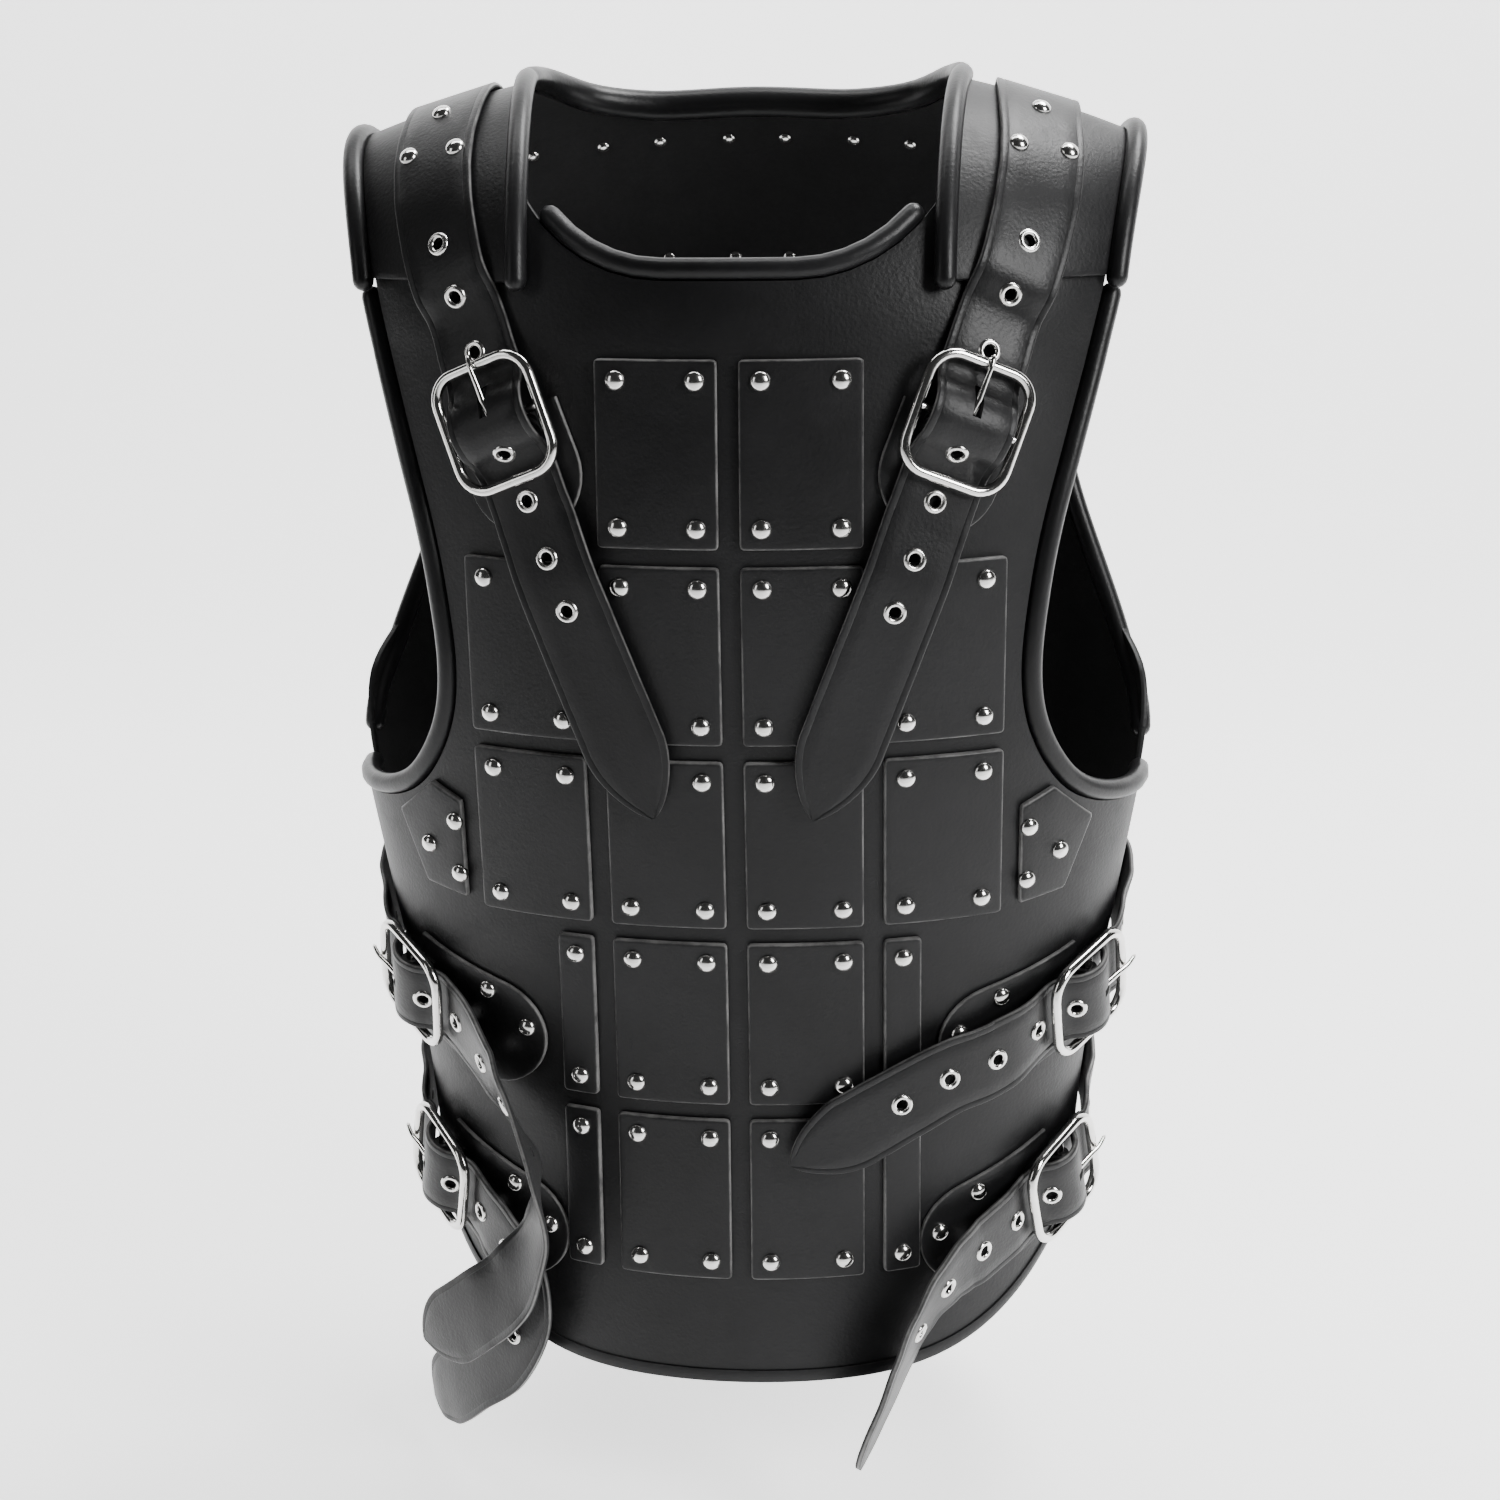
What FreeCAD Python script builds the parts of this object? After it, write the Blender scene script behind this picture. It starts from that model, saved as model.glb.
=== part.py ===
"""Leather brigandine: a breast shell and a back shell of thick leather, faced with riveted leather
plates and closed by two shoulder straps and four side straps with centre-bar buckles.

Millimetres, +Z up. The front faces -Y. The origin is on the body's axis at the height of the hem.
"""
import FreeCAD, Part
import Sketcher
import math
import os
from FreeCAD import Vector

doc = FreeCAD.newDocument("Brigandine")
sheet = doc.addObject("Spreadsheet::Sheet", "Sizes")

SIZES = {
    # Heights of the body stations above the hem
    "waist_height": 150, "rib_height": 230, "chest_height": 330, "breast_height": 430,
    "shoulder_height": 505, "shoulder_rise": 105, "shoulder_fall": 22,
    # Half widths at the stations
    "hem_half_width": 158, "waist_half_width": 170, "rib_half_width": 184,
    "chest_half_width": 198, "breast_half_width": 196, "shoulder_half_width": 192,
    # Depths in front of the axis and behind it
    "hem_front": 118, "waist_front": 112, "rib_front": 114, "chest_front": 122,
    "breast_front": 126, "shoulder_front": 121,
    "hem_back": 112, "waist_back": 98, "rib_back": 104, "chest_back": 118,
    "breast_back": 126, "shoulder_back": 122,
    # Leather
    "shell_wall": 3.6, "layer_gap": 0.4, "plate_wall": 2.6, "strap_wall": 2.8, "chape_wall": 2.0,
    "roll_radius": 5.0, "collar_radius": 7.5, "hem_side_rise": 62, "binding_height": 7, "binding_wall": 1.2,
    # Shell edges
    "front_edge_turn": 80, "back_edge_turn": 87, "front_top_run": 44,
    "neck_half_width": 105, "neck_flat_half": 30, "neck_height": 539, "neck_back_reach": 75,
    "flap_half_width": 175, "flap_reach": 134, "flap_tip_half": 162, "flap_tip_inner": 96,
    # Plates and their rivets
    "plate_width": 53.5, "plate_height": 83.5, "column_gap": 9.3, "row_gap": 8, "strip_width": 17,
    "lowest_plate": 56.5, "rivet_margin": 9.5, "rivet_radius": 4.7, "rivet_dome": 2.8,
    # Straps
    "strap_width": 40, "strap_top_x": 134, "strap_tip_x": 35, "strap_bend_run": 100,
    "strap_start_run": -24, "shoulder_bar_run": 194, "shoulder_tip_run": 372,
    "eyelet_pitch": 26, "eyelet_radius": 5.4, "eyelet_bore": 2.75, "eyelet_rim": 0.8,
    # Buckles
    "wire_radius": 2.5, "bar_radius": 2.0, "frame_width": 55, "frame_length": 59, "frame_corner": 15,
    "frame_play": 1.9, "bar_play": 0.25, "prong_width": 4, "prong_height": 3.2, "prong_overhang": 4.5,
    "side_prong_overhang": 9,
    "chape_width": 56, "shoulder_chape": 52, "side_chape": 78, "knuckle_width": 34, "prong_slot": 6,
    "upper_bar_height": 186, "lower_bar_height": 84, "side_bar_turn": 64, "side_strap_rise": 36,
    "side_strap_turn": 124, "side_strap_lead_turn": 19, "side_strap_rise_turn": 34, "overlap_turn": 92,
    "side_rivet_turn": 120, "side_rivet_pitch_turn": 7, "anchor_rivet_run": 38, "anchor_rivet_pitch": 32,
    "overrun": 60,
}
for line, (name, value) in enumerate(SIZES.items(), start=1):
    sheet.set("A%d" % line, name)
    sheet.set("B%d" % line, str(value))
    sheet.setAlias("B%d" % line, name)
doc.recompute()


def size(name):
    return float(getattr(sheet, name))


ROWS = 5
DEGREE = math.pi / 180
MIRROR = (("left", -1), ("right", 1))
ROLL_CORNERS = 8
CORNER_CHORDS = 3
DOME_STEPS = 6
FLAT_STEPS = 2
# Steps of a shell's facets across, up to the shoulder and over it
SHELL_COLUMNS, SIDE_ROWS, FRONT_TOP_ROWS, BACK_TOP_ROWS = 18, 12, 6, 13
# Points along the rolls and stretches along the straps
ARMHOLE_LINE_POINTS, ARMHOLE_POINTS, NECK_CORNER_POINTS, NECK_FLAT_POINTS = 60, 18, 9, 7
COLLAR_SIDE_POINTS, COLLAR_BACK_POINTS = 6, 17
FLAP_STRETCHES, SIDE_STRETCHES, TAIL_STRETCHES = 7, 5, 4

wall = size("shell_wall")
gap = size("layer_gap")
strap = size("strap_wall")
plate_floor = wall + gap * 1.5
plate_top = plate_floor + size("plate_wall")
rivet_top = plate_top + gap + size("rivet_dome")
chape_floor = wall + gap * 2
chape_top = chape_floor + size("chape_wall")
# The bar stands so high that the strap and the chape pass under the frame with its play
bar_height = chape_top + gap + strap + size("frame_play") + size("wire_radius")
knuckle_radius = size("bar_radius") + size("bar_play") + size("chape_wall")
bar_reach = size("frame_width") / 2 - size("wire_radius")
side_reach = size("frame_length") / 2 - size("wire_radius")

STATIONS = [0.0] + [size(n) for n in
                    ("waist_height", "rib_height", "chest_height", "breast_height", "shoulder_height")]
NAMES = ("hem", "waist", "rib", "chest", "breast", "shoulder")
WIDTHS = [size(n + "_half_width") for n in NAMES]
FRONTS = [size(n + "_front") for n in NAMES]
BACKS = [size(n + "_back") for n in NAMES]
rise = size("shoulder_rise")
quarter = rise * math.pi / 2
hem_run = quarter + size("shoulder_height")


def smooth(at, knots, values):
    """A curve without corners through values at knots."""
    at = min(max(at, knots[0]), knots[-1])
    i = max(k for k in range(len(knots) - 1) if knots[k] <= at)

    def slope(k):
        low, high = max(k - 1, 0), min(k + 1, len(knots) - 1)
        return (values[high] - values[low]) / (knots[high] - knots[low])
    span = knots[i + 1] - knots[i]
    u = (at - knots[i]) / span
    return ((1 + 2 * u) * (1 - u) ** 2 * values[i] + u * u * (3 - 2 * u) * values[i + 1]
            + u * (1 - u) ** 2 * span * slope(i) - u * u * (1 - u) * span * slope(i + 1))


def skin(turn, run):
    """A point of the inner skin. turn is the angle round the body from the front centre line, run the way
    down from the shoulder ridge; a negative run goes down the back with turn counted from its centre."""
    if run < 0:
        turn = math.pi - turn
    down = abs(run)
    if down < quarter:
        height = size("shoulder_height") + rise * math.cos(down / rise)
        reach = math.sin(down / rise)
        ease = (1 + math.cos(math.pi * down / quarter)) / 2
    else:
        height = size("shoulder_height") - (down - quarter)
        reach, ease = 1.0, 0.0
    level = min(height, size("shoulder_height"))
    depth = smooth(level, STATIONS, FRONTS if math.cos(turn) >= 0 else BACKS)
    x = smooth(level, STATIONS, WIDTHS) * math.sin(turn)
    inner, outer = size("neck_half_width"), size("flap_half_width")
    fall = size("shoulder_fall") * (x * x - inner * inner) / (outer * outer - inner * inner)
    return Vector(x, -depth * reach * math.cos(turn), height - fall * ease)


def normal(turn, run):
    step_turn, step_run = DEGREE / 5, rise / 500
    side = skin(turn + step_turn, run) - skin(turn - step_turn, run)
    down = skin(turn, run + step_run) - skin(turn, run - step_run)
    if abs(run) < step_run * 2:
        down = Vector(0, -1, 0)
    out = side.cross(down).normalize()
    at = skin(turn, run)
    core = Vector(0, 0, min(at.z, size("shoulder_height")))
    return out if out.dot(at - core) > 0 else -out


def on(turn, run, lift):
    return skin(turn, run) + normal(turn, run) * lift


def turn_at(x, run):
    """The turn at which the skin has this x."""
    level = min(size("shoulder_height"), hem_run - abs(run))
    return math.asin(max(-1.0, min(1.0, x / smooth(level, STATIONS, WIDTHS))))


def run_where(test, low, high):
    """The run between low and high where test changes from true to false."""
    for _ in range(40):
        middle = (low + high) / 2
        low, high = (middle, high) if test(middle) else (low, middle)
    return (low + high) / 2


def run_at(x, z):
    """The run in front at which the skin has this x and z."""
    return run_where(lambda r: skin(turn_at(x, r), r).z > z, 0.0, hem_run * 1.1)


def faceted(points, facets):
    """A closed solid from corner points and three-cornered facets, which are turned to face outwards."""
    if sum(points[a].dot(points[b].cross(points[c])) for a, b, c in facets) < 0:
        facets = [(a, c, b) for a, b, c in facets]
    shell = Part.Shape()
    shell.makeShapeFromMesh((points, facets), gap / 100)
    return Part.makeSolid(Part.makeShell(shell.Faces))


def loft(rings):
    """A solid through closed rings with equal numbers of points, flat between them."""
    count = len(rings[0])
    points = [p for one in rings for p in one]
    facets = []
    for k in range(len(rings) - 1):
        for i in range(count):
            a, b = k * count + i, k * count + (i + 1) % count
            facets += [(a, b, a + count), (b, b + count, a + count)]
    last = (len(rings) - 1) * count
    for i in range(1, count - 1):
        facets += [(0, i + 1, i), (last, last + i, last + i + 1)]
    return faceted(points, facets)


def curve(points):
    line = Part.BSplineCurve()
    line.interpolate(points)
    return line.toShape()


def dome_share(share, first, last, low_steps, high_steps):
    """The run for a share of a sheet's steps, with low_steps below the shoulder and high_steps over it."""
    edge = math.copysign(quarter, first)
    turn_share = low_steps / (low_steps + high_steps)
    if share < turn_share:
        return first + (edge - first) * share / turn_share
    return edge + (last - edge) * (share - turn_share) / (1 - turn_share)


def leather(spot, low, high, across, along):
    """A sheet of leather on the skin. spot(a, b) gives turn and run for shares a and b from 0 to 1, and
    low and high give the lifts of its two faces for the same shares."""
    points, facets = [], []
    for lift in (low, high):
        for i in range(across + 1):
            for j in range(along + 1):
                turn, run = spot(i / across, j / along)
                points.append(on(turn, run, lift(i / across, j / along)))
    layer = (across + 1) * (along + 1)

    def at(i, j, top):
        return top * layer + i * (along + 1) + j
    for i in range(across):
        for j in range(along):
            a, b, c, e = at(i, j, 0), at(i + 1, j, 0), at(i + 1, j + 1, 0), at(i, j + 1, 0)
            facets += [(a, b, c), (a, c, e)]
            facets += [(a + layer, c + layer, b + layer), (a + layer, e + layer, c + layer)]
    rim = ([at(i, 0, 0) for i in range(across)] + [at(across, j, 0) for j in range(along)]
           + [at(i, along, 0) for i in range(across, 0, -1)] + [at(0, j, 0) for j in range(along, 0, -1)])
    for k, a in enumerate(rim):
        b = rim[(k + 1) % len(rim)]
        facets += [(a, a + layer, b), (b, a + layer, b + layer)]
    return faceted(points, facets)


def seated(piece, under):
    """A piece of metal, cut away where the leather under it curves into it."""
    return piece.cut(under) if piece.common(under).Volume > gap ** 3 / 100 else piece


def ring(centre, side, out, radius, corners=6):
    """The corners of a regular polygon across the directions side and out."""
    return [centre + side * (radius * math.cos(2 * math.pi * k / corners))
            + out * (radius * math.sin(2 * math.pi * k / corners)) for k in range(corners)]


def rod(centre, side, out, radius, length):
    """A six-sided rod from centre along the direction square to side and out."""
    ahead = side.cross(out)
    return loft([ring(centre, side, out, radius), ring(centre + ahead * length, side, out, radius)])


def tube(points, outs, radii):
    """A rolled edge: octagons along points, joined by straight stretches."""
    rings = []
    for k, point in enumerate(points):
        ahead = points[min(k + 1, len(points) - 1)] - points[max(k - 1, 0)]
        ahead.normalize()
        side = ahead.cross(outs[k]).normalize()
        rings.append(ring(point, side, side.cross(ahead), radii[k], ROLL_CORNERS))
    return loft(rings)


def edge_roll(places, away, radius, lift, slant=0.0):
    """A roll beside a cut edge: places are turns and runs of the edge, away the side it lies on. slant is how
    far a slanted cut reaches past the edge's middle for each millimetre of the roll's radius."""
    points = [on(turn, run, lift(k)) for k, (turn, run) in enumerate(places)]
    outs = [normal(turn, run) for turn, run in places]
    centres = []
    for k, point in enumerate(points):
        ahead = points[min(k + 1, len(points) - 1)] - points[max(k - 1, 0)]
        off = outs[k].cross(ahead).normalize() * away
        centres.append(point + off * (radius(k) * (1 + slant) + gap))
    return tube(centres, outs, [radius(k) for k in range(len(points))])


nodes = {}


def keep(name, shape):
    """Adds a finished leather or metal form to the document under its name."""
    item = doc.addObject("Part::Feature", name)
    item.Label = name
    item.Shape = shape
    nodes[name] = item
    return item


# Front shell
def hem_height(turn):
    return size("hem_side_rise") * abs(math.sin(turn)) ** 5


ARMHOLE_SHARES = ((1.08, 0.452), (0.93, 0.459), (0.84, 0.470), (0.775, 0.486), (0.715, 0.515), (0.675, 0.550),
                  (0.662, 0.590), (0.678, 0.650), (0.705, 0.700), (0.748, 0.755), (0.812, 0.835),
                  (0.855, 0.900), (0.870, 1.010))
ridge_height = size("shoulder_height") + rise
ARMHOLE = [(share * size("chest_half_width"), up * ridge_height) for share, up in ARMHOLE_SHARES]


def armhole_line(side, deep):
    return curve([Vector(x * side, -deep, z) for x, z in ARMHOLE])


def neck_lines(deep):
    """The front neck seen from the front: side, round corner, flat, round corner, side."""
    flat, half, low = size("neck_flat_half"), size("neck_half_width"), size("neck_height")
    lift = low + (half - flat)
    tall = ridge_height + size("overrun")
    bend = math.sqrt(2) / 2
    corner = Vector(flat + (half - flat) * bend, -deep, lift - (half - flat) * bend)
    points = [Vector(half, -deep, tall), Vector(half, -deep, lift), Vector(flat, -deep, low)]
    other = [Vector(-p.x, p.y, p.z) for p in points]
    return [Part.makeLine(points[0], points[1]), Part.Arc(points[1], corner, points[2]).toShape(),
            Part.makeLine(points[2], other[2]),
            Part.Arc(other[2], Vector(-corner.x, corner.y, corner.z), other[1]).toShape(),
            Part.makeLine(other[1], other[0]), Part.makeLine(other[0], points[0])]


def make_front_shell():
    edge = size("front_edge_turn") * DEGREE
    top = size("front_top_run")

    def spot(a, b):
        turn = edge * (2 * a - 1)
        return turn, dome_share(b, hem_run - hem_height(turn), top, SIDE_ROWS, FRONT_TOP_ROWS)
    shell = leather(spot, lambda a, b: 0.0, lambda a, b: wall, SHELL_COLUMNS, SIDE_ROWS + FRONT_TOP_ROWS)
    deep = size("chest_front") + size("overrun")
    far = size("chest_half_width") + size("overrun")
    for name, side in MIRROR:
        line = armhole_line(side, deep)
        start, end = line.Vertexes[0].Point, line.Vertexes[-1].Point
        first, last = Vector(far * side, -deep, start.z), Vector(far * side, -deep, end.z)
        outline = [line, Part.makeLine(end, last), Part.makeLine(last, first), Part.makeLine(first, start)]
        shell = shell.cut(Part.Face(Part.Wire(outline)).extrude(Vector(0, deep, 0)))
    return shell.cut(Part.Face(Part.Wire(neck_lines(deep))).extrude(Vector(0, deep, 0)))


# Back shell, which carries the shoulder flaps over the ridge to the front
BACK_EDGE_RUN_SHARES = (-1.0, -0.62, -0.555, -0.50, -0.40, -0.32, -0.20, 0.0)
BACK_EDGE_TURN_SHARES = (1.0, 1.0, 0.94, 0.78, 0.62, 0.575, 0.62)
STEP_SHARES = (-0.16, -0.04)


def back_edge(run):
    top = math.asin(size("flap_half_width") / size("shoulder_half_width"))
    tip = math.asin(size("flap_tip_half") / size("shoulder_half_width"))
    full = size("back_edge_turn") * DEGREE
    # Over the shoulder the turns come from the flap's own widths
    turns = [full * share for share in BACK_EDGE_TURN_SHARES] + [top, tip]
    return smooth(run / hem_run, BACK_EDGE_RUN_SHARES + (size("flap_reach") / hem_run,), turns)


def step_share(run):
    """How far the shoulder flap has stepped outwards over the front shell, from 0 to 1."""
    low, high = STEP_SHARES[0] * hem_run, STEP_SHARES[1] * hem_run
    u = min(1.0, max(0.0, (run - low) / (high - low)))
    return u * u * (3 - 2 * u)


def flap_lift(run):
    return (wall + gap * 2) * step_share(run)


def roll_lift(run, radius):
    """The lift of a roll on the back shell's edge, which clears the front shell where the flap covers it."""
    return flap_lift(run) + wall / 2 + (radius - wall / 2) * step_share(run)


NECK_SHARES = ((0.97, 0.35), (0.82, 0.72), (0.50, 0.95))


def neck_x(y):
    """Half of the neck's width at a depth before the axis, which narrows to the tips of the flaps."""
    tip_y = skin(turn_at(size("flap_tip_inner"), size("flap_reach")), size("flap_reach")).y
    return size("neck_half_width") + (size("flap_tip_inner") - size("neck_half_width")) * y / tip_y


def neck_outline():
    """The neck seen from above: straight sides over the shoulders and a round back."""
    half, reach, deep = size("neck_half_width"), size("neck_back_reach"), size("chest_front") + size("overrun")
    start = Vector(half, 0, 0)
    round_points = [start] + [Vector(half * across, reach * deep_share, 0) for across, deep_share in NECK_SHARES]
    mirrored = [Vector(-p.x, p.y, 0) for p in reversed(round_points)]
    right, left = Vector(neck_x(-deep), -deep, 0), Vector(-neck_x(-deep), -deep, 0)
    return [Part.makeLine(right, start), curve(round_points + [Vector(0, reach, 0)] + mirrored),
            Part.makeLine(mirrored[-1], left), Part.makeLine(left, right)]


def back_spot(a, b):
    reach = size("flap_reach")
    turn = back_edge(dome_share(b, -hem_run, reach, SIDE_ROWS, BACK_TOP_ROWS)) * (2 * a - 1)
    return turn, dome_share(b, hem_height(turn) - hem_run, reach, SIDE_ROWS, BACK_TOP_ROWS)


def make_back_shell():
    def inner(a, b):
        return flap_lift(back_spot(a, b)[1])
    shell = leather(back_spot, inner, lambda a, b: inner(a, b) + wall, SHELL_COLUMNS, SIDE_ROWS + BACK_TOP_ROWS)
    base = size("breast_height")
    cutter = Part.Face(Part.Wire(neck_outline()))
    cutter.translate(Vector(0, 0, base))
    return shell.cut(cutter.extrude(Vector(0, 0, ridge_height + size("overrun") - base)))


keep("front_shell", make_front_shell())
keep("back_shell", make_back_shell())


# Rolled edges
def run_at_depth(x, y):
    return run_where(lambda r: skin(turn_at(x, r), r).y > y, -quarter, size("flap_reach"))


def spread(points, count):
    """count points evenly along a line through points."""
    return curve(points).discretize(Number=count)


def make_armhole_roll(side):
    line = armhole_line(side, 0).discretize(Number=ARMHOLE_LINE_POINTS)
    edge_x = size("chest_half_width") * math.sin(size("front_edge_turn") * DEGREE)
    top = size("neck_height") - size("roll_radius") * 2
    inside = [p for p in line if abs(p.x) < edge_x and p.z < top]
    places = []
    for p in spread(inside, ARMHOLE_POINTS):
        run = run_at(p.x, p.z)
        places.append((turn_at(p.x, run), run))
    return edge_roll(places, -side, lambda k: size("roll_radius"), lambda k: wall / 2)


def make_neck_roll():
    corner, flat, other = neck_lines(0)[1:4]
    low = size("neck_height") + size("roll_radius") * 4
    points = (corner.discretize(Number=NECK_CORNER_POINTS) + flat.discretize(Number=NECK_FLAT_POINTS)[1:-1]
              + other.discretize(Number=NECK_CORNER_POINTS))
    reach = size("flap_tip_inner") - size("roll_radius") * 3
    places = []
    for p in points:
        if abs(p.x) < reach and p.z < low:
            run = run_at(p.x, p.z)
            places.append((turn_at(p.x, run), run))
    return edge_roll(places, -1, lambda k: size("roll_radius"), lambda k: wall / 2)


def make_flap_roll(side):
    low, rows = BACK_EDGE_RUN_SHARES[2] * hem_run, SIDE_ROWS + BACK_TOP_ROWS
    edge = [back_spot((1 + side) / 2, 1 - k / rows) for k in range(rows + 1)]
    places = [(turn, run) for turn, run in edge if run > low]
    radius = size("roll_radius")
    return edge_roll(places, -side, lambda k: radius, lambda k: roll_lift(places[k][1], radius))


COLLAR_SLANT = 0.42


def make_collar_roll():
    reach = size("flap_reach")
    front_y = skin(turn_at(size("flap_tip_inner"), reach), reach).y
    depths = [front_y * (1 - k / COLLAR_SIDE_POINTS) for k in range(COLLAR_SIDE_POINTS)]
    sides = [Vector(neck_x(y), y, 0) for y in depths]
    back = neck_outline()[1].discretize(Number=COLLAR_BACK_POINTS)
    points = sides + back + [Vector(-p.x, p.y, 0) for p in reversed(sides)]
    places = []
    for p in points:
        run = run_at_depth(p.x, p.y)
        places.append((turn_at(p.x, run), run))
    thin, thick = size("roll_radius"), size("collar_radius")

    def radius(k):
        u = max(0.0, min(1.0, points[k].y / size("neck_back_reach")))
        return thin + (thick - thin) * u
    return edge_roll(places, 1, radius, lambda k: roll_lift(places[k][1], radius(k)), COLLAR_SLANT)


keep("neck_roll", make_neck_roll())
keep("collar_roll", seated(make_collar_roll(), nodes["back_shell"].Shape))
for name, side in MIRROR:
    keep("armhole_roll_" + name, make_armhole_roll(side))
    keep("flap_roll_" + name, make_flap_roll(side))


def make_binding(edge, way):
    """A narrow strip sewn along the hem of a shell; way is 1 in front and -1 behind."""
    def spot(a, b):
        turn = edge * (2 * a - 1)
        return turn, way * (hem_run - hem_height(turn) - size("binding_height") * b)
    low = wall + gap
    return leather(spot, lambda a, b: low, lambda a, b: low + size("binding_wall"), SHELL_COLUMNS, 1)


keep("front_hem_binding", make_binding(size("front_edge_turn") * DEGREE, 1))
keep("back_hem_binding", make_binding(size("back_edge_turn") * DEGREE, -1))


# Plates and their rivets
def make_plate(x_low, x_high, run_low, run_high):
    def spot(a, b):
        run = run_low + (run_high - run_low) * b
        return turn_at(x_low + (x_high - x_low) * a, run), run
    steps = DOME_STEPS if abs(run_low) < quarter else FLAT_STEPS

    def step(a, b):
        return flap_lift(spot(a, b)[1]) if run_low < 0 else 0.0
    return leather(spot, lambda a, b: plate_floor + step(a, b), lambda a, b: plate_top + step(a, b), 3, steps)


def rivet(turn, run, low):
    out = normal(turn, run)
    side = Vector(0, 0, 1).cross(out).normalize()
    up = out.cross(side)
    foot = on(turn, run, low + gap / 2)
    radius = size("rivet_radius")
    rings = [ring(foot, side, up, radius),
             ring(foot + out * size("rivet_dome"), side, up, radius / 2)]
    return loft(rings)


def row_runs(row, way):
    """Upper and lower run of a row of plates, counted from the hem."""
    high = hem_run - size("lowest_plate") - row * (size("plate_height") + size("row_gap"))
    return way * (high - size("plate_height")), way * high


def columns(row, way):
    """The plates of a row as pairs of x, with the x of their rivets."""
    margin, pitch = size("rivet_margin"), size("plate_width") + size("column_gap")
    first = size("column_gap") / 2
    out = []
    for side in (-1, 1):
        spans = [(first, first + size("plate_width"))]
        if row < 2:
            spans.append((first + pitch, first + pitch + size("strip_width")))
        elif row < 4 or way < 0:
            spans.append((first + pitch, first + pitch + size("plate_width")))
        for low, high in spans:
            wide = high - low > margin * 2
            rivets = [low + margin, high - margin] if wide else [(low + high) / 2]
            out.append(((side * low, side * high), [side * x for x in rivets]))
    return out


def make_plates(way, row, rivets):
    """One row of plates; their rivets are added to the list rivets."""
    run_low, run_high = row_runs(row, way)
    margin = size("rivet_margin") * way
    plates = []
    for (x_low, x_high), xs in columns(row, way):
        plate = make_plate(x_low, x_high, run_low, run_high)
        plates.append(plate)
        for x in xs:
            for run in (run_low + margin, run_high - margin):
                step = flap_lift(run) if run < 0 else 0.0
                rivets.append(seated(rivet(turn_at(x, run), run, plate_top + step), plate))
    return plates


front_rivets, back_rivets = [], []
for row in range(ROWS):
    keep("front_plates_row_%d" % (ROWS - row), Part.makeCompound(make_plates(1, row, front_rivets)))
for row, label in ((4, "upper"), (2, "middle"), (0, "lower")):
    plates = make_plates(-1, row, back_rivets) + make_plates(-1, row + 1, back_rivets)
    keep("back_plates_" + label, Part.makeCompound(plates))

UNDERARM_SHARES = ((0.655, 0.397), (0.655, 0.480), (0.73, 0.492), (0.825, 0.460), (0.76, 0.402))
UNDERARM_RIVET_SHARES = ((0.672, 0.462), (0.668, 0.417), (0.745, 0.437))


def make_underarm_plate(side):
    """The five-sided plate below the armhole, cut from a sheet on the skin."""
    half, deep = size("chest_half_width"), size("chest_front") + size("overrun")
    points = [Vector(x * half * side, -deep, z * ridge_height) for x, z in UNDERARM_SHARES]
    xs, zs = [abs(p.x) for p in points], [p.z for p in points]
    sheet_plate = make_plate(min(xs) * side * 0.95, max(xs) * side * 1.03,
                             run_at(min(xs), max(zs)) * 0.98, run_at(min(xs), min(zs)) * 1.02)
    outline = Part.Face(Part.makePolygon(points + points[:1])).extrude(Vector(0, deep, 0))
    for x, z in UNDERARM_RIVET_SHARES:
        run = run_at(x * half, z * ridge_height)
        front_rivets.append(rivet(turn_at(x * half, run) * side, run, plate_top))
    return sheet_plate.common(outline)


keep("underarm_plates", Part.makeCompound([make_underarm_plate(side) for name, side in MIRROR]))
keep("front_rivets", Part.makeCompound(front_rivets))
keep("back_rivets", Part.makeCompound(back_rivets))


# Buckle seats: the centre of the bar and the directions along it, towards the strap's start and outwards
class Seat:
    def __init__(self, turn, run, towards):
        self.turn, self.run = turn, run
        self.out = normal(turn, run)
        self.at = skin(turn, run) + self.out * bar_height
        self.back = (towards - self.out * towards.dot(self.out)).normalize()
        self.across = self.back.cross(self.out)

    def place(self, x, d, lift):
        return self.at + self.across * x + self.back * d + self.out * lift

    def placement(self):
        return FreeCAD.Placement(FreeCAD.Matrix(
            self.across.x, self.back.x, self.out.x, self.at.x,
            self.across.y, self.back.y, self.out.y, self.at.y,
            self.across.z, self.back.z, self.out.z, self.at.z, 0, 0, 0, 1))

    def below(self, x, d):
        """Turn and run of the skin straight under a point of the seat."""
        turn, run, step = self.turn, self.run, DEGREE / 10
        for _ in range(5):
            off = skin(turn, run) - self.at
            miss = (x - off.dot(self.across), d - off.dot(self.back))
            by_turn = (skin(turn + step, run) - skin(turn, run)) * (1 / step)
            by_run = (skin(turn, run + rise * step) - skin(turn, run)) * (1 / (rise * step))
            a, b = by_turn.dot(self.across), by_run.dot(self.across)
            c, e = by_turn.dot(self.back), by_run.dot(self.back)
            base = a * e - b * c
            turn += (miss[0] * e - miss[1] * b) / base
            run += (miss[1] * a - miss[0] * c) / base
        return turn, run


# The shoulder strap runs straight over the shoulder, bends at the flap and slants to the middle of the chest
def strap_x(run):
    bend, tip = size("strap_bend_run"), size("shoulder_tip_run")
    top, end = size("strap_top_x"), size("strap_tip_x")
    ease = size("strap_width")
    slope = (top - end) / (tip - bend)
    past = run - bend
    if past > ease:
        return top - slope * past
    return top - slope * (past + ease) ** 2 / (4 * ease) if past > -ease else top


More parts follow.
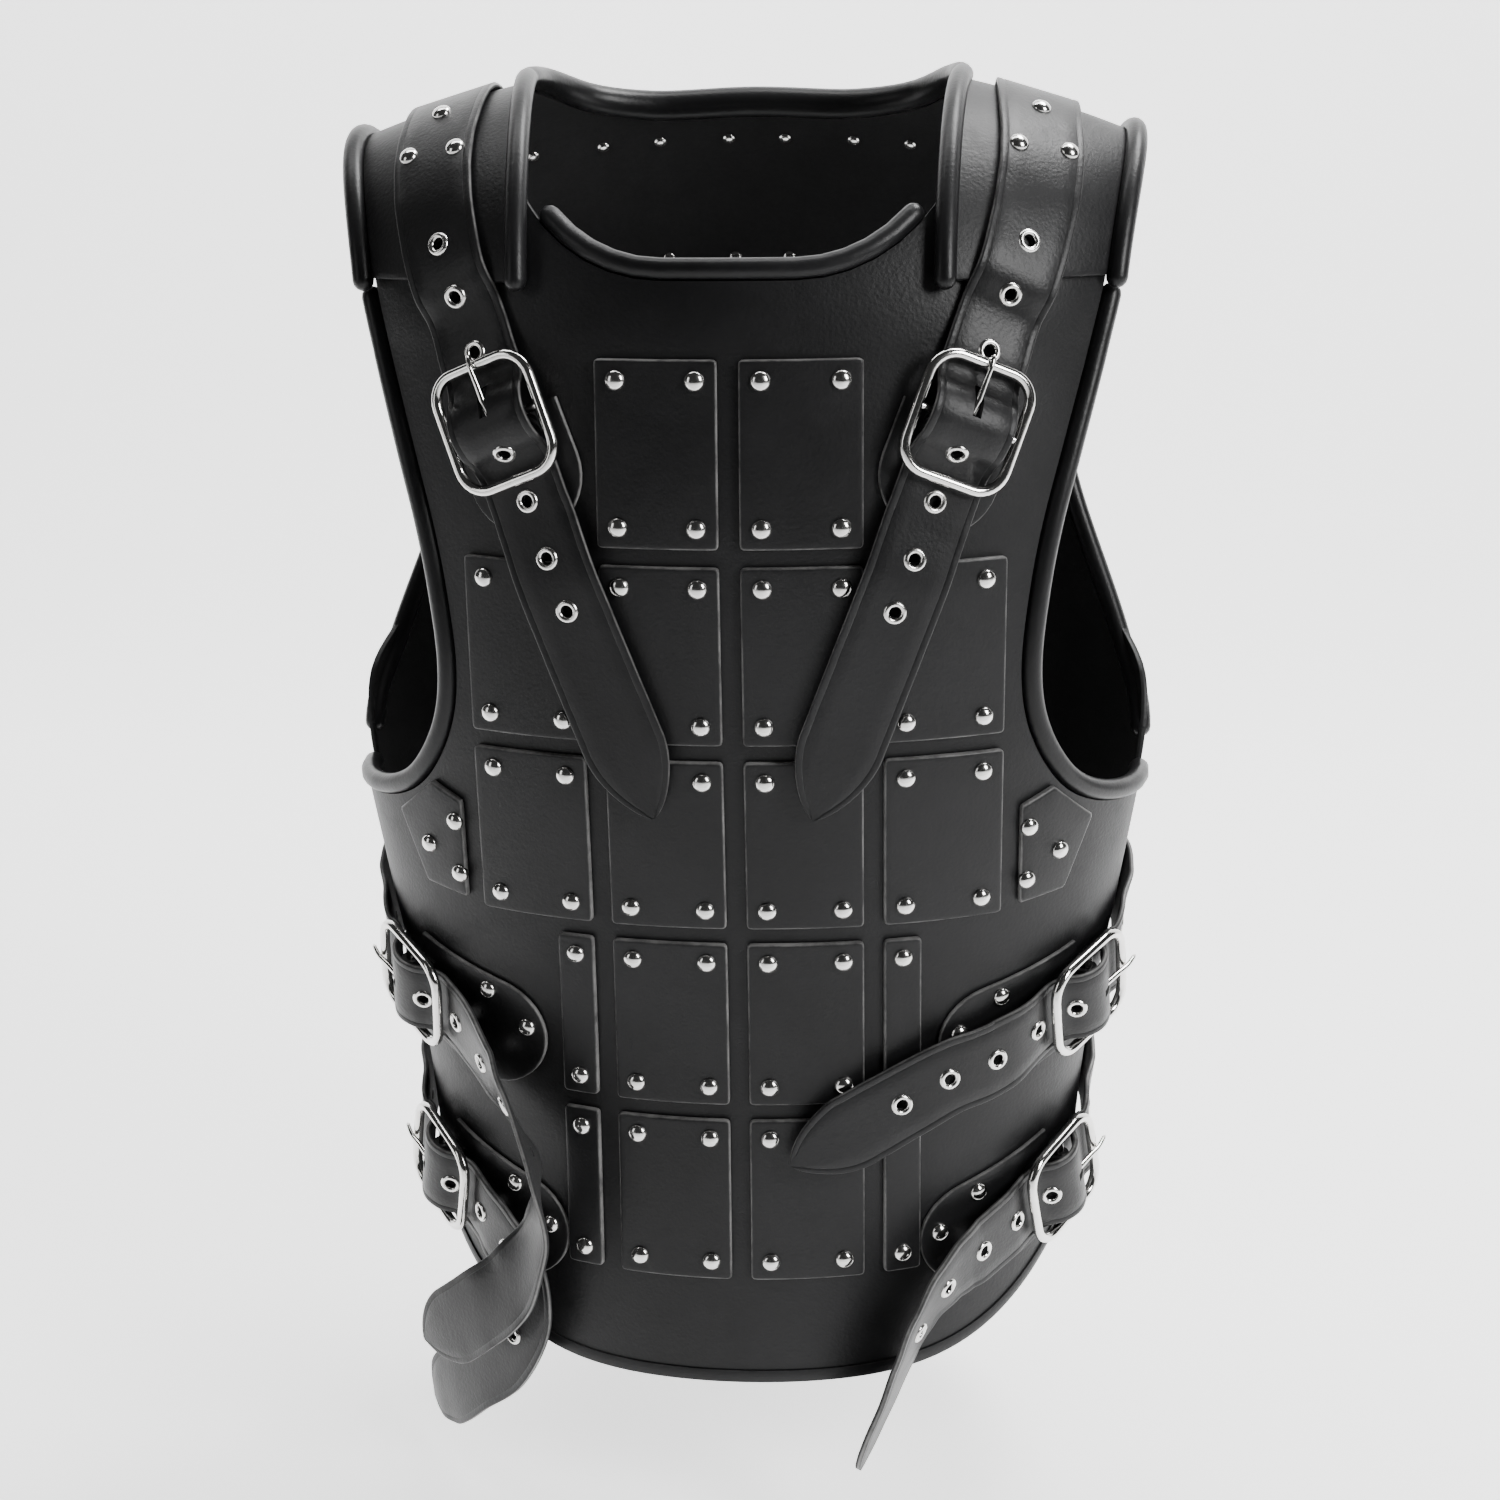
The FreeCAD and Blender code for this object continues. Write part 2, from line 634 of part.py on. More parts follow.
def shoulder_seat(side):
    run = size("shoulder_bar_run")
    step = size("eyelet_pitch")
    above = on(turn_at(strap_x(run - step), run - step) * side, run - step, 0)
    below = on(turn_at(strap_x(run + step), run + step) * side, run + step, 0)
    return Seat(turn_at(strap_x(run), run) * side, run, above - below)


def side_seat(side, height):
    run = hem_run - height
    turn = size("side_bar_turn") * DEGREE
    behind = skin((turn + 10 * DEGREE) * side, run - size("side_strap_rise") / 5)
    return Seat(turn * side, run, behind - skin(turn * side, run))


SEATS = {}
for name, side in MIRROR:
    SEATS[name + "_shoulder"] = shoulder_seat(side)
    SEATS[name + "_upper"] = side_seat(side, size("upper_bar_height"))
    SEATS[name + "_lower"] = side_seat(side, size("lower_bar_height"))

under_wire = -(size("wire_radius") + size("frame_play") + strap / 2)
over_bar = knuckle_radius / math.cos(math.pi / ROLL_CORNERS) + gap + strap / 2
exit_reach = side_reach + size("wire_radius") * 2.4
# Reach and height of the strap's way through a buckle, as shares of the frame's reach and of the whole climb
PROFILE_SHARES = ((1.15, 0.0), (0.84, 0.02), (0.58, 0.28), (0.34, 0.78), (0.0, 1.0),
                  (-0.34, 0.78), (-0.58, 0.28), (-0.84, 0.02))
# The slot and the prong's place in it, as shares of the frame's reach
SLOT_START, SLOT_LENGTH, PRONG_SHARE = 0.10, 0.58, 0.42


def buckle_stations(seat):
    """Middle points of the strap where it goes under the frame, over the bar and under the frame again."""
    points = []
    for d, up in PROFILE_SHARES:
        points.append(seat.place(0, d * side_reach, under_wire + (over_bar - under_wire) * up))
    points.append(seat.place(0, -exit_reach, under_wire))
    return [(p, seat.across, seat.out) for p in points]


def make_band(stations, halves, first=None, last=None):
    """A strap through stations; first and last are the ways that it starts and ends, where they are set."""
    centres = [p for p, side, out in stations]
    sides, outs = [], []
    for k, (p, side, out) in enumerate(stations):
        ahead = centres[min(k + 1, len(centres) - 1)] - centres[max(k - 1, 0)]
        if first and k == 0:
            ahead = Vector(first)
        if last and k == len(centres) - 1:
            ahead = Vector(last)
        ahead.normalize()
        side = (side - ahead * side.dot(ahead)).normalize()
        face = side.cross(ahead)
        sides.append(side)
        outs.append(face if face.dot(out) > 0 else -face)
    corners = []
    for across, up in ((-1, -1), (1, -1), (1, 1), (-1, 1)):
        corners.append([c + s * (h * across) + o * (strap / 2 * up)
                        for c, s, o, h in zip(centres, sides, outs, halves)])
    return loft(list(zip(*corners))), centres, sides, outs


def skin_station(turn, run, lift, towards):
    """A strap station lying on the skin; towards is the way the strap goes."""
    out = normal(turn, run)
    return on(turn, run, lift), towards.cross(out), out


def skin_stations(places):
    """Stations for a list of turn, run and lift."""
    points = [on(*place) for place in places]
    out = []
    for k, place in enumerate(places):
        ahead = points[min(k + 1, len(points) - 1)] - points[max(k - 1, 0)]
        out.append(skin_station(*place, ahead.normalize()))
    return out


def eyelet_hole(at, side, out, round_bore):
    deep = strap * 3
    start = at - out * (deep / 2)
    if round_bore:
        return Part.makeCylinder(size("eyelet_bore"), deep, start, out)
    return rod(start, side, out.cross(side), size("eyelet_bore"), deep)


def fit_eyelets(solid, centres, sides, outs, lengths, round_ones=()):
    """Cuts holes at lengths along a strap and gives the rings that line them."""
    rings = []
    for number, length in enumerate(lengths):
        near, ahead = 0, centres[1] - centres[0]
        while length > ahead.Length and near < len(centres) - 2:
            length -= ahead.Length
            near += 1
            ahead = centres[near + 1] - centres[near]
        ahead.normalize()
        at = centres[near] + ahead * length
        side = (sides[near] - ahead * sides[near].dot(ahead)).normalize()
        out = side.cross(ahead)
        out = out if out.dot(outs[near]) > 0 else -out
        hole = eyelet_hole(at, side, out, number in round_ones)
        seat = at + out * (strap / 2 + gap / 2)
        rings.append(rod(seat, side, out.cross(side), size("eyelet_radius"), size("eyelet_rim")).cut(hole))
        solid = solid.cut(hole)
        if number in round_ones:
            lacing_eyelets.append((at, out))
    return solid, [seated(ring, solid) for ring in rings]


def prong_hole(seat):
    """The slot that the prong comes through, long enough for it to lift."""
    half = size("prong_width") / 2 + size("bar_play") * 3
    start, long = side_reach * SLOT_START, side_reach * SLOT_LENGTH
    box = Part.makeBox(half * 2, long, knuckle_radius * 6, Vector(-half, start, -knuckle_radius * 3))
    box.Placement = seat.placement()
    return box


TIP_SHARES = ((1.0, 0.75), (0.86, 0.35), (0.55, 0.10), (0.10, 0.0))
root_eyelets = []
lacing_eyelets = []


def tail_halves(half, count):
    """Half widths at a tail's stations, which narrow to its point over the last ones."""
    return [half] * (count - len(TIP_SHARES)) + [half * wide for wide, back in TIP_SHARES]


def make_shoulder_strap(name, side):
    seat = SEATS[name + "_shoulder"]
    half = size("strap_width") / 2
    on_flap = flap_lift(0) + wall + gap * 2 + strap / 2
    on_shell = wall + gap + strap / 2
    start, bar, leave = size("strap_start_run"), size("shoulder_bar_run"), size("flap_reach")
    near = bar - side_reach * 1.35
    runs = [start + (leave - start) * k / FLAP_STRETCHES for k in range(FLAP_STRETCHES + 1)]
    lifts = [on_flap] * len(runs) + [on_shell + gap]
    runs.append((leave * 1.4 + near * 1.6) / 3)
    places = [(turn_at(strap_x(r), r) * side, r, lift) for r, lift in zip(runs, lifts)]
    stations = skin_stations(places) + buckle_stations(seat)
    stations = match_sides(stations)
    solid, centres, sides, outs = make_band(stations, [half] * len(stations), last=-seat.back)
    pitch = size("eyelet_pitch")
    bar_length = length_to(centres, seat.place(0, 0, over_bar))
    prong_at = bar_length - side_reach * PRONG_SHARE
    lengths = [prong_at - pitch * k for k in (3, 2, 1)] + [prong_at + pitch]
    solid = solid.cut(prong_hole(seat))
    solid, rings = fit_eyelets(solid, centres, sides, outs, lengths, round_ones=(0,))
    root_eyelets.extend(rings)
    return solid


def match_sides(stations):
    """Turns the across directions of stations the same way."""
    out = [stations[-1]]
    for p, side, face in reversed(stations[:-1]):
        side = side.normalize()
        out.append((p, side if side.dot(out[-1][1]) > 0 else -side, face))
    return out[::-1]


def length_to(centres, point):
    """The length along a strap to the station nearest to a point."""
    near = min(range(len(centres)), key=lambda k: (centres[k] - point).Length)
    return sum((centres[k + 1] - centres[k]).Length for k in range(near))


def make_tail(seat, stations, pitch_count, name):
    half = size("strap_width") / 2
    lead = [(seat.place(0, -exit_reach - d, under_wire), seat.across, seat.out) for d in (gap, strap * 2)]
    stations = match_sides((lead + stations)[::-1])[::-1]
    solid, centres, sides, outs = make_band(stations, tail_halves(half, len(stations)), first=-seat.back)
    pitch = size("eyelet_pitch")
    start = pitch * 2 - side_reach * PRONG_SHARE - exit_reach
    lengths = [start + pitch * k for k in range(pitch_count)]
    solid, rings = fit_eyelets(solid, centres, sides, outs, lengths)
    keep(name + "_tail", solid)
    keep(name + "_tail_eyelets", Part.makeCompound(rings))


def make_shoulder_tail(name, side):
    seat = SEATS[name + "_shoulder"]
    bar, tip = size("shoulder_bar_run"), size("shoulder_tip_run")
    top = rivet_top + gap * 2 + strap / 2
    start = bar + exit_reach + strap * 4
    point = size("strap_width") * 0.72
    runs = [start + (tip - point - start) * k / TAIL_STRETCHES for k in range(TAIL_STRETCHES + 1)]
    runs += [tip - point * back for wide, back in TIP_SHARES]
    lifts = [top - strap] + [top] * (len(runs) - 1)
    places = [(turn_at(strap_x(r), r) * side, r, lift) for r, lift in zip(runs, lifts)]
    make_tail(seat, skin_stations(places), 3, name + "_shoulder")


for name, side in MIRROR:
    keep("shoulder_strap_" + name, make_shoulder_strap(name, side))
    make_shoulder_tail(name, side)


def make_side_strap(name, side, level, height):
    """A side strap from its rivets on the back shell to its buckle on the breast shell."""
    seat = SEATS[name + "_" + level]
    half = size("strap_width") / 2
    bar = size("side_bar_turn")
    start, near = size("side_strap_turn"), bar + size("side_strap_lead_turn")
    lift = wall + gap * 2 + strap / 2
    places = []
    for k in range(SIDE_STRETCHES + 1):
        degrees = start + (near - start) * k / SIDE_STRETCHES
        up = height + size("side_strap_rise") * min(1.0, (degrees - bar) / size("side_strap_rise_turn"))
        over = strap / 2 if degrees < size("overlap_turn") else 0.0
        places.append((degrees * DEGREE * side, hem_run - up, lift + over))
    stations = match_sides(skin_stations(places) + buckle_stations(seat))
    solid, centres, sides, outs = make_band(stations, [half] * len(stations), last=-seat.back)
    prong_at = length_to(centres, seat.place(0, 0, over_bar)) - side_reach * PRONG_SHARE
    pitch = size("eyelet_pitch")
    solid = solid.cut(prong_hole(seat))
    solid, rings = fit_eyelets(solid, centres, sides, outs, [prong_at - pitch * 1.6, prong_at + pitch])
    root_eyelets.extend(rings)
    return solid


# Places of the free tails: turn in degrees, height as a share of the ridge, lift as a share of the strap's
# width and twist in degrees
TAIL_SHARES = {
    "left_upper": ((42, 0.258, 0.50, 24), (37.5, 0.240, 0.66, 40), (31, 0.198, 0.88, 62), (30.5, 0.138, 0.98, 46),
                   (36.5, 0.086, 0.97, 22), (43.5, 0.055, 0.95, 8), (50, 0.030, 0.93, 0),
                   (55.5, 0.012, 0.93, -5), (60, -0.002, 0.93, -8)),
    "left_lower": ((44.5, 0.104, 0.40, 8), (40, 0.086, 0.42, 12), (39.5, 0.050, 0.40, 12), (46, -0.002, 0.40, 6),
                   (56, -0.040, 0.42, 4), (62, -0.062, 0.45, 0), (68, -0.080, 0.48, -5), (72, -0.093, 0.50, -5),
                   (76, -0.103, 0.50, -5)),
    "right_upper": ((43, 0.272, 0.35, 0), (39, 0.267, 0.36, 0), (34, 0.262, 0.36, 0), (26, 0.245, 0.36, 0),
                    (20, 0.230, 0.36, 0), (15.5, 0.218, 0.36, 0), (12, 0.209, 0.36, 0), (9.5, 0.202, 0.36, 0),
                    (8, 0.198, 0.36, 0)),
    "right_lower": ((42, 0.106, 0.42, 10), (38, 0.100, 0.50, 19), (34, 0.088, 0.58, 30.4),
                    (29.5, 0.062, 0.64, 44), (26.5, 0.032, 0.66, 52), (24, 0.0, 0.66, 56),
                    (21.5, -0.030, 0.64, 57.6), (20, -0.050, 0.62, 57.6), (19, -0.064, 0.60, 57.6)),
}


def make_side_tail(name):
    side = -1 if name.startswith("left") else 1
    points, outs, twists = [], [], []
    for degrees, up, lift, twist in TAIL_SHARES[name]:
        turn, run = degrees * DEGREE * side, hem_run - max(up, 0) * ridge_height
        out = normal(turn, run)
        points.append(on(turn, run, lift * size("strap_width")) + Vector(0, 0, min(up, 0) * ridge_height))
        outs.append(out)
        twists.append(twist * DEGREE * side)
    stations = []
    for k, point in enumerate(points):
        ahead = (points[min(k + 1, len(points) - 1)] - points[max(k - 1, 0)]).normalize()
        across = ahead.cross(outs[k]).normalize()
        face = across.cross(ahead)
        if face.dot(outs[k]) < 0:
            face, across = -face, -across
        turned = across * math.cos(twists[k]) + face * math.sin(twists[k])
        stations.append((point, turned, face * math.cos(twists[k]) - across * math.sin(twists[k])))
    make_tail(SEATS[name], stations, 4, name)


for name, side in MIRROR:
    for level in ("upper", "lower"):
        height = size(level + "_bar_height")
        keep("side_strap_%s_%s" % (name, level), make_side_strap(name, side, level, height))
        make_side_tail("%s_%s" % (name, level))
keep("strap_eyelets", Part.makeCompound(root_eyelets))


# Chapes: a round-ended tab on the breast shell whose fold holds the buckle's bar
strap_rivets = []
CHAPE_RIVET_SHARES = {"shoulder": (), "side": ((0.74, -0.56), (0.36, -0.86))}


def make_chape(name):
    seat = SEATS[name]
    half = size("chape_width") / 2
    reach = size("shoulder_chape") if "shoulder" in name else size("side_chape")
    front = size("bar_radius")

    def spot(a, b):
        return seat.below(half * 1.1 * (2 * a - 1), front * 2 - (reach * 1.05 + front) * b)
    tab = leather(spot, lambda a, b: chape_floor, lambda a, b: chape_top, 5, 6)
    corners = [Vector(half, front, 0), Vector(half, half - reach, 0), Vector(0, -reach, 0),
               Vector(-half, half - reach, 0), Vector(-half, front, 0)]
    outline = Part.Wire([Part.makeLine(corners[0], corners[1]), Part.Arc(*corners[1:4]).toShape(),
                         Part.makeLine(corners[3], corners[4]), Part.makeLine(corners[4], corners[0])])
    deep = bar_height * 4
    mould = Part.Face(outline).extrude(Vector(0, 0, deep))
    mould.translate(Vector(0, 0, -deep))
    mould.Placement = seat.placement().multiply(mould.Placement)
    tab = tab.common(mould)
    width = size("knuckle_width")
    start, along_bar = Vector(-width / 2, 0, 0), Vector(width, 0, 0)

    def round_bar(radius, reach):
        corners = [Vector(-reach, p.x, p.y) for p in flat_ring(radius)]
        return Part.Face(Part.makePolygon(corners + corners[:1])).extrude(Vector(reach * 2, 0, 0))
    barrel = round_bar(knuckle_radius, width / 2)
    foot = -bar_height + chape_floor + size("chape_wall") / 2
    profile = [start + Vector(0, y, z) for y, z in (
        (front, foot), (knuckle_radius, 0), (-knuckle_radius, 0), (-knuckle_radius * 2, foot))]
    riser = Part.Face(Part.makePolygon(profile + profile[:1])).extrude(along_bar)
    hole = round_bar(size("bar_radius") + size("bar_play"), width)
    slot = size("prong_slot")
    notch = Part.makeBox(slot, knuckle_radius * 4, knuckle_radius * 2 + size("wire_radius"),
                         Vector(-slot / 2, -knuckle_radius * 2, -knuckle_radius - size("wire_radius")))
    fold = barrel.fuse(riser).cut(hole).cut(notch)
    fold.Placement = seat.placement()
    chape = tab.fuse(fold)
    for x, d in CHAPE_RIVET_SHARES["shoulder" if "shoulder" in name else "side"]:
        flip = 1 if name.startswith("left") else -1
        strap_rivets.append(seated(rivet(*seat.below(x * half * flip, d * reach), chape_top), chape))
    return chape


# The three rivets that hold each shoulder strap to its flap, and two for each side strap behind
SHOULDER_RIVET_SHARES = ((0, 0.0), (1, -0.55), (1, 0.55))


def strap_anchor_rivets():
    half = size("strap_width") / 2
    top = flap_lift(0) + wall + gap * 2 + strap
    for name, side in MIRROR:
        for step, across in SHOULDER_RIVET_SHARES:
            run = size("anchor_rivet_run") + step * size("anchor_rivet_pitch")
            x = size("strap_top_x") + across * half
            head = rivet(turn_at(x, run) * side, run, top)
            strap_rivets.append(seated(head, nodes["shoulder_strap_" + name].Shape))
        for level in ("upper", "lower"):
            height = size(level + "_bar_height") + size("side_strap_rise")
            for degrees in (size("side_rivet_turn"), size("side_rivet_turn") - size("side_rivet_pitch_turn")):
                head = rivet(degrees * DEGREE * side, hem_run - height, wall + gap * 2 + strap)
                strap_rivets.append(seated(head, nodes["side_strap_%s_%s" % (name, level)].Shape))


def draw(sketch, points):
    """Draws a closed outline in a sketch."""
    for k, point in enumerate(points):
        sketch.addGeometry(Part.LineSegment(point, points[(k + 1) % len(points)]))


def flat_ring(radius):
    """An eight-sided outline round the sketch's origin whose sides lie at radius."""
    corner = radius / math.cos(math.pi / ROLL_CORNERS)
    turned = Vector(math.cos(math.pi / ROLL_CORNERS), math.sin(math.pi / ROLL_CORNERS), 0)
    return ring(Vector(), turned, Vector(-turned.y, turned.x, 0), corner, ROLL_CORNERS)


def attached(body, name, role):
    sketch = body.newObject("Sketcher::SketchObject", name)
    plane = [o for o in body.Origin.OriginFeatures if o.Role == role][0]
    sketch.AttachmentSupport, sketch.MapMode = [(plane, "")], "FlatFace"
    return sketch


def frame_body(name):
    """The round-wire frame with its centre bar, drawn flat and then set on its seat."""
    body = doc.addObject("PartDesign::Body", name)
    path = attached(body, name + "_path", "XY_Plane")
    x, y = bar_reach, side_reach
    corner = size("frame_corner") - size("wire_radius")
    points = [Vector(x, 0, 0)]
    for quadrant in range(4):
        centre = Vector((x - corner) * (1, -1, -1, 1)[quadrant], (y - corner) * (1, 1, -1, -1)[quadrant], 0)
        for k in range(CORNER_CHORDS + 1):
            angle = (quadrant + k / CORNER_CHORDS) * math.pi / 2
            points.append(centre + Vector(corner * math.cos(angle), corner * math.sin(angle), 0))
    draw(path, points)
    profile = attached(body, name + "_wire", "XZ_Plane")
    draw(profile, ring(Vector(x, 0, 0), Vector(1, 0, 0), Vector(0, 1, 0), size("wire_radius"), ROLL_CORNERS))
    pipe = body.newObject("PartDesign::AdditivePipe", name + "_pipe")
    pipe.Profile, pipe.Spine, pipe.Transition = profile, path, "Right corner"
    doc.recompute()
    bar = attached(body, name + "_bar_section", "YZ_Plane")
    draw(bar, ring(Vector(), Vector(1, 0, 0), Vector(0, 1, 0), size("bar_radius"), ROLL_CORNERS))
    pad = body.newObject("PartDesign::Pad", name + "_bar")
    pad.Profile, pad.Midplane = bar, True
    pad.setExpression("Length", "Sizes.frame_width - Sizes.wire_radius * 2")
    body.Tip = pad
    body.Label = name
    body.Placement = SEATS[name.replace("_frame", "")].placement()
    nodes[name] = body
    return body


def prong_body(name):
    """The prong: an eye round the bar and a shaft that rests over the far side of the frame."""
    body = doc.addObject("PartDesign::Body", name)
    eye = attached(body, name + "_eye_section", "YZ_Plane")
    inner, outer = size("bar_radius") + size("bar_play"), knuckle_radius - gap
    for radius in (inner, outer):
        draw(eye, flat_ring(radius))
    pad = body.newObject("PartDesign::Pad", name + "_eye")
    pad.Profile, pad.Midplane = eye, True
    pad.setExpression("Length", "Sizes.prong_width")
    shaft = attached(body, name + "_shaft_section", "YZ_Plane")
    low = size("wire_radius") + gap
    thick = size("prong_height")
    tip = side_reach + size("prong_overhang" if "shoulder" in name else "side_prong_overhang")
    root = (inner + outer) / 2
    points = [(root, -thick * 0.35), (side_reach * 0.8, low - thick * 0.30), (side_reach, low),
              (tip, low - gap * 2), (tip, low + thick * 0.55), (side_reach * 0.93, low + thick),
              (side_reach * 0.4, thick * 1.1), (root, thick * 0.85)]
    draw(shaft, [Vector(y, z, 0) for y, z in points])
    arm = body.newObject("PartDesign::Pad", name + "_shaft")
    arm.Profile, arm.Midplane = shaft, True
    arm.setExpression("Length", "Sizes.prong_width")
    body.Tip = arm
    body.Label = name
    body.Placement = SEATS[name.replace("_prong", "")].placement()
    nodes[name] = body
    return body


for name in SEATS:
    keep(name + "_chape", make_chape(name))
    frame_body(name + "_frame")
    prong_body(name + "_prong")
strap_anchor_rivets()
keep("strap_rivets", Part.makeCompound(strap_rivets))

doc.recompute()
faults = ["%s: %s" % (item.Name, item.State) for item in doc.Objects
          if any(word in item.State for word in ("Invalid", "Error"))]
for name, item in nodes.items():
    shape = item.Shape
    if shape.isNull() or not shape.isValid() or not shape.Solids or min(s.Volume for s in shape.Solids) < 0:
        faults.append("%s: shape is not valid" % name)
if faults:
    print("\n".join(faults))
os.makedirs("parts", exist_ok=True)
for name, item in nodes.items():
    item.Shape.exportStep("parts/%s.step" % name)
print(len(nodes), "nodes")
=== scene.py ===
"""Leather brigandine: the dressed model on its CAD frame. Metres, +Z up, the front faces -Y."""

import math

import bmesh
import bpy
from mathutils import Matrix, Vector, kdtree


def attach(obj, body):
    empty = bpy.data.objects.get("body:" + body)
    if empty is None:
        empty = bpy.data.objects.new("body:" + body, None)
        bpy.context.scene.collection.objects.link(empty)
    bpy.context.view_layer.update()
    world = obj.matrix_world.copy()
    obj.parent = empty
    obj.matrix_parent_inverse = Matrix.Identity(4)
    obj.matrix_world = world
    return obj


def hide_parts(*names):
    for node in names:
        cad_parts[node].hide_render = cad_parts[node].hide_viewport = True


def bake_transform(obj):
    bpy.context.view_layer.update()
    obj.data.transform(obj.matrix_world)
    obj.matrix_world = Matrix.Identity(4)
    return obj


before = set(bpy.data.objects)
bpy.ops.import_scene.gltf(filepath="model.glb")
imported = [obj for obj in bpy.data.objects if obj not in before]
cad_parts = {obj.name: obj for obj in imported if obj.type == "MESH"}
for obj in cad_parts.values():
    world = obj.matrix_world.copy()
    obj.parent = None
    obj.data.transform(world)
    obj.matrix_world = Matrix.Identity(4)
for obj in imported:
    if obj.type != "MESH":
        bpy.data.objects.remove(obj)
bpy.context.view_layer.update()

bl_info = {
    "name": "Leather Brigandine",
    "version": (1, 0, 0),
    "blender": (4, 5, 0),
    "location": "3D View > Sidebar > Brigandine",
    "description": "Builds the leather, straps and metal of a brigandine on its CAD frame",
    "category": "Object",
}

DEGREE = math.pi / 180
SIDES = (("left", -1), ("right", 1))
ROWS = 5
# Angles above which an edge is shaded sharp or rounded off, and the steps of the large forms
SHARP, STRAP_SHARP, METAL_SHARP, RIM_SHARP = 35 * DEGREE, 40 * DEGREE, 50 * DEGREE, 50 * DEGREE
SHELL_ACROSS, FRONT_ALONG, BACK_ALONG = 110, 120, 170
ARMHOLE_STEPS, NECK_STEPS, FLAP_STEPS, COLLAR_STEPS, COLLAR_SIDE_STEPS, HEM_STEPS = 90, 80, 120, 170, 40, 120
SHOULDER_STRAP_STEPS, SIDE_STRAP_STEPS = 220, 200
PLATE_ACROSS, PLATE_ALONG = 8, 12
SHELL_BEVEL, ROLL_SINK = 0.0009, 0.9
# Where the back shell starts and ends its step over the front shell, as shares of the way to the hem
STEP_FROM, STEP_TO = -0.16, -0.04
# Room that a cutter reaches past what it cuts, and its depth
CUT_OVER, CUT_DEEP, CUT_FAR, NECK_CUT_LOW = 0.06, 0.2, 0.27, 0.43


def length(name, default, description):
    return bpy.props.FloatProperty(name=name, description=description, default=default, precision=4,
                                   unit="LENGTH", subtype="DISTANCE")


def angle(name, degrees, description):
    return bpy.props.FloatProperty(name=name, description=description, default=degrees * DEGREE,
                                   unit="ROTATION", subtype="ANGLE")


def tint(name, rgb, description):
    return bpy.props.FloatVectorProperty(name=name, description=description, default=rgb, size=3, min=0.0,
                                         max=1.0, subtype="COLOR")


def row(name, values, description):
    return bpy.props.FloatVectorProperty(name=name, description=description, default=values, size=len(values),
                                         precision=4, unit="LENGTH")


class BrigandineBody(bpy.types.PropertyGroup):
    """The form of the two shells."""
    heights: row("Station heights", (0.0, 0.150, 0.230, 0.330, 0.430, 0.505), "Heights of the body stations")
    half_widths: row("Half widths", (0.158, 0.170, 0.184, 0.198, 0.196, 0.192), "Half width at each station")
    fronts: row("Front depths", (0.118, 0.112, 0.114, 0.122, 0.126, 0.121), "Depth before the axis")
    backs: row("Back depths", (0.112, 0.098, 0.104, 0.118, 0.126, 0.122), "Depth behind the axis")
    shoulder_rise: length("Shoulder rise", 0.105, "Height of the shoulder ridge above the top station")
    shoulder_fall: length("Shoulder fall", 0.022, "Drop of the ridge from the neck to the arm")
    shell_wall: length("Shell leather", 0.0036, "Thickness of the shells")
    layer_gap: length("Layer gap", 0.0004, "Room between two layers of leather")
    hem_side_rise: length("Hem rise", 0.062, "How far the hem rises at the sides")
    front_edge: angle("Front edge", 80, "Turn of the front shell's side edges")
    back_edge: angle("Back edge", 87, "Turn of the back shell's side edges")
    front_top: length("Front top", 0.044, "Way from the ridge down to the front shell's top")
    neck_half_width: length("Neck half width", 0.105, "Half width of the neck")
    neck_flat_half: length("Neck flat", 0.030, "Half of the straight part of the front neck")
    neck_height: length("Neck height", 0.539, "Height of the front neck's edge")
    neck_back_reach: length("Neck reach", 0.075, "How far the neck reaches behind the axis")
    flap_half_width: length("Flap half width", 0.175, "Outer edge of the shoulder flaps on the ridge")
    flap_tip_half: length("Flap tip", 0.162, "Outer edge of the shoulder flaps at their tips")
    flap_tip_inner: length("Flap tip inside", 0.096, "Inner edge of the shoulder flaps at their tips")
    flap_reach: length("Flap reach", 0.134, "Way of the flaps from the ridge down the front")


class BrigandineLeather(bpy.types.PropertyGroup):
    """Rolls, plates and rivets."""
    roll_radius: length("Roll radius", 0.0050, "Radius of the rolled edges")
    collar_radius: length("Collar radius", 0.0075, "Radius of the roll behind the neck")
    binding_height: length("Hem band", 0.007, "Height of the band along the hem")
    binding_wall: length("Hem band wall", 0.0012, "Thickness of the band along the hem")
    plate_wall: length("Plate leather", 0.0026, "Thickness of the plates")
    plate_width: length("Plate width", 0.0535, "Width of a plate")
    plate_height: length("Plate height", 0.0835, "Height of a plate")
    column_gap: length("Column gap", 0.0093, "Room between two columns of plates")
    row_gap: length("Row gap", 0.008, "Room between two rows of plates")
    strip_width: length("Strip width", 0.017, "Width of the narrow plates")
    lowest_plate: length("Lowest plate", 0.0565, "Height of the lowest plates above the hem")
    plate_corner: length("Plate corner", 0.0022, "Corner radius of a plate")
    plate_bevel: length("Plate bevel", 0.0013, "Width of a plate's rounded rim")
    rivet_margin: length("Rivet margin", 0.0095, "Distance of a rivet from the plate's edges")
    rivet_radius: length("Rivet radius", 0.0047, "Radius of a rivet's head")
    rivet_dome: length("Rivet dome", 0.0031, "Height of a rivet's head")


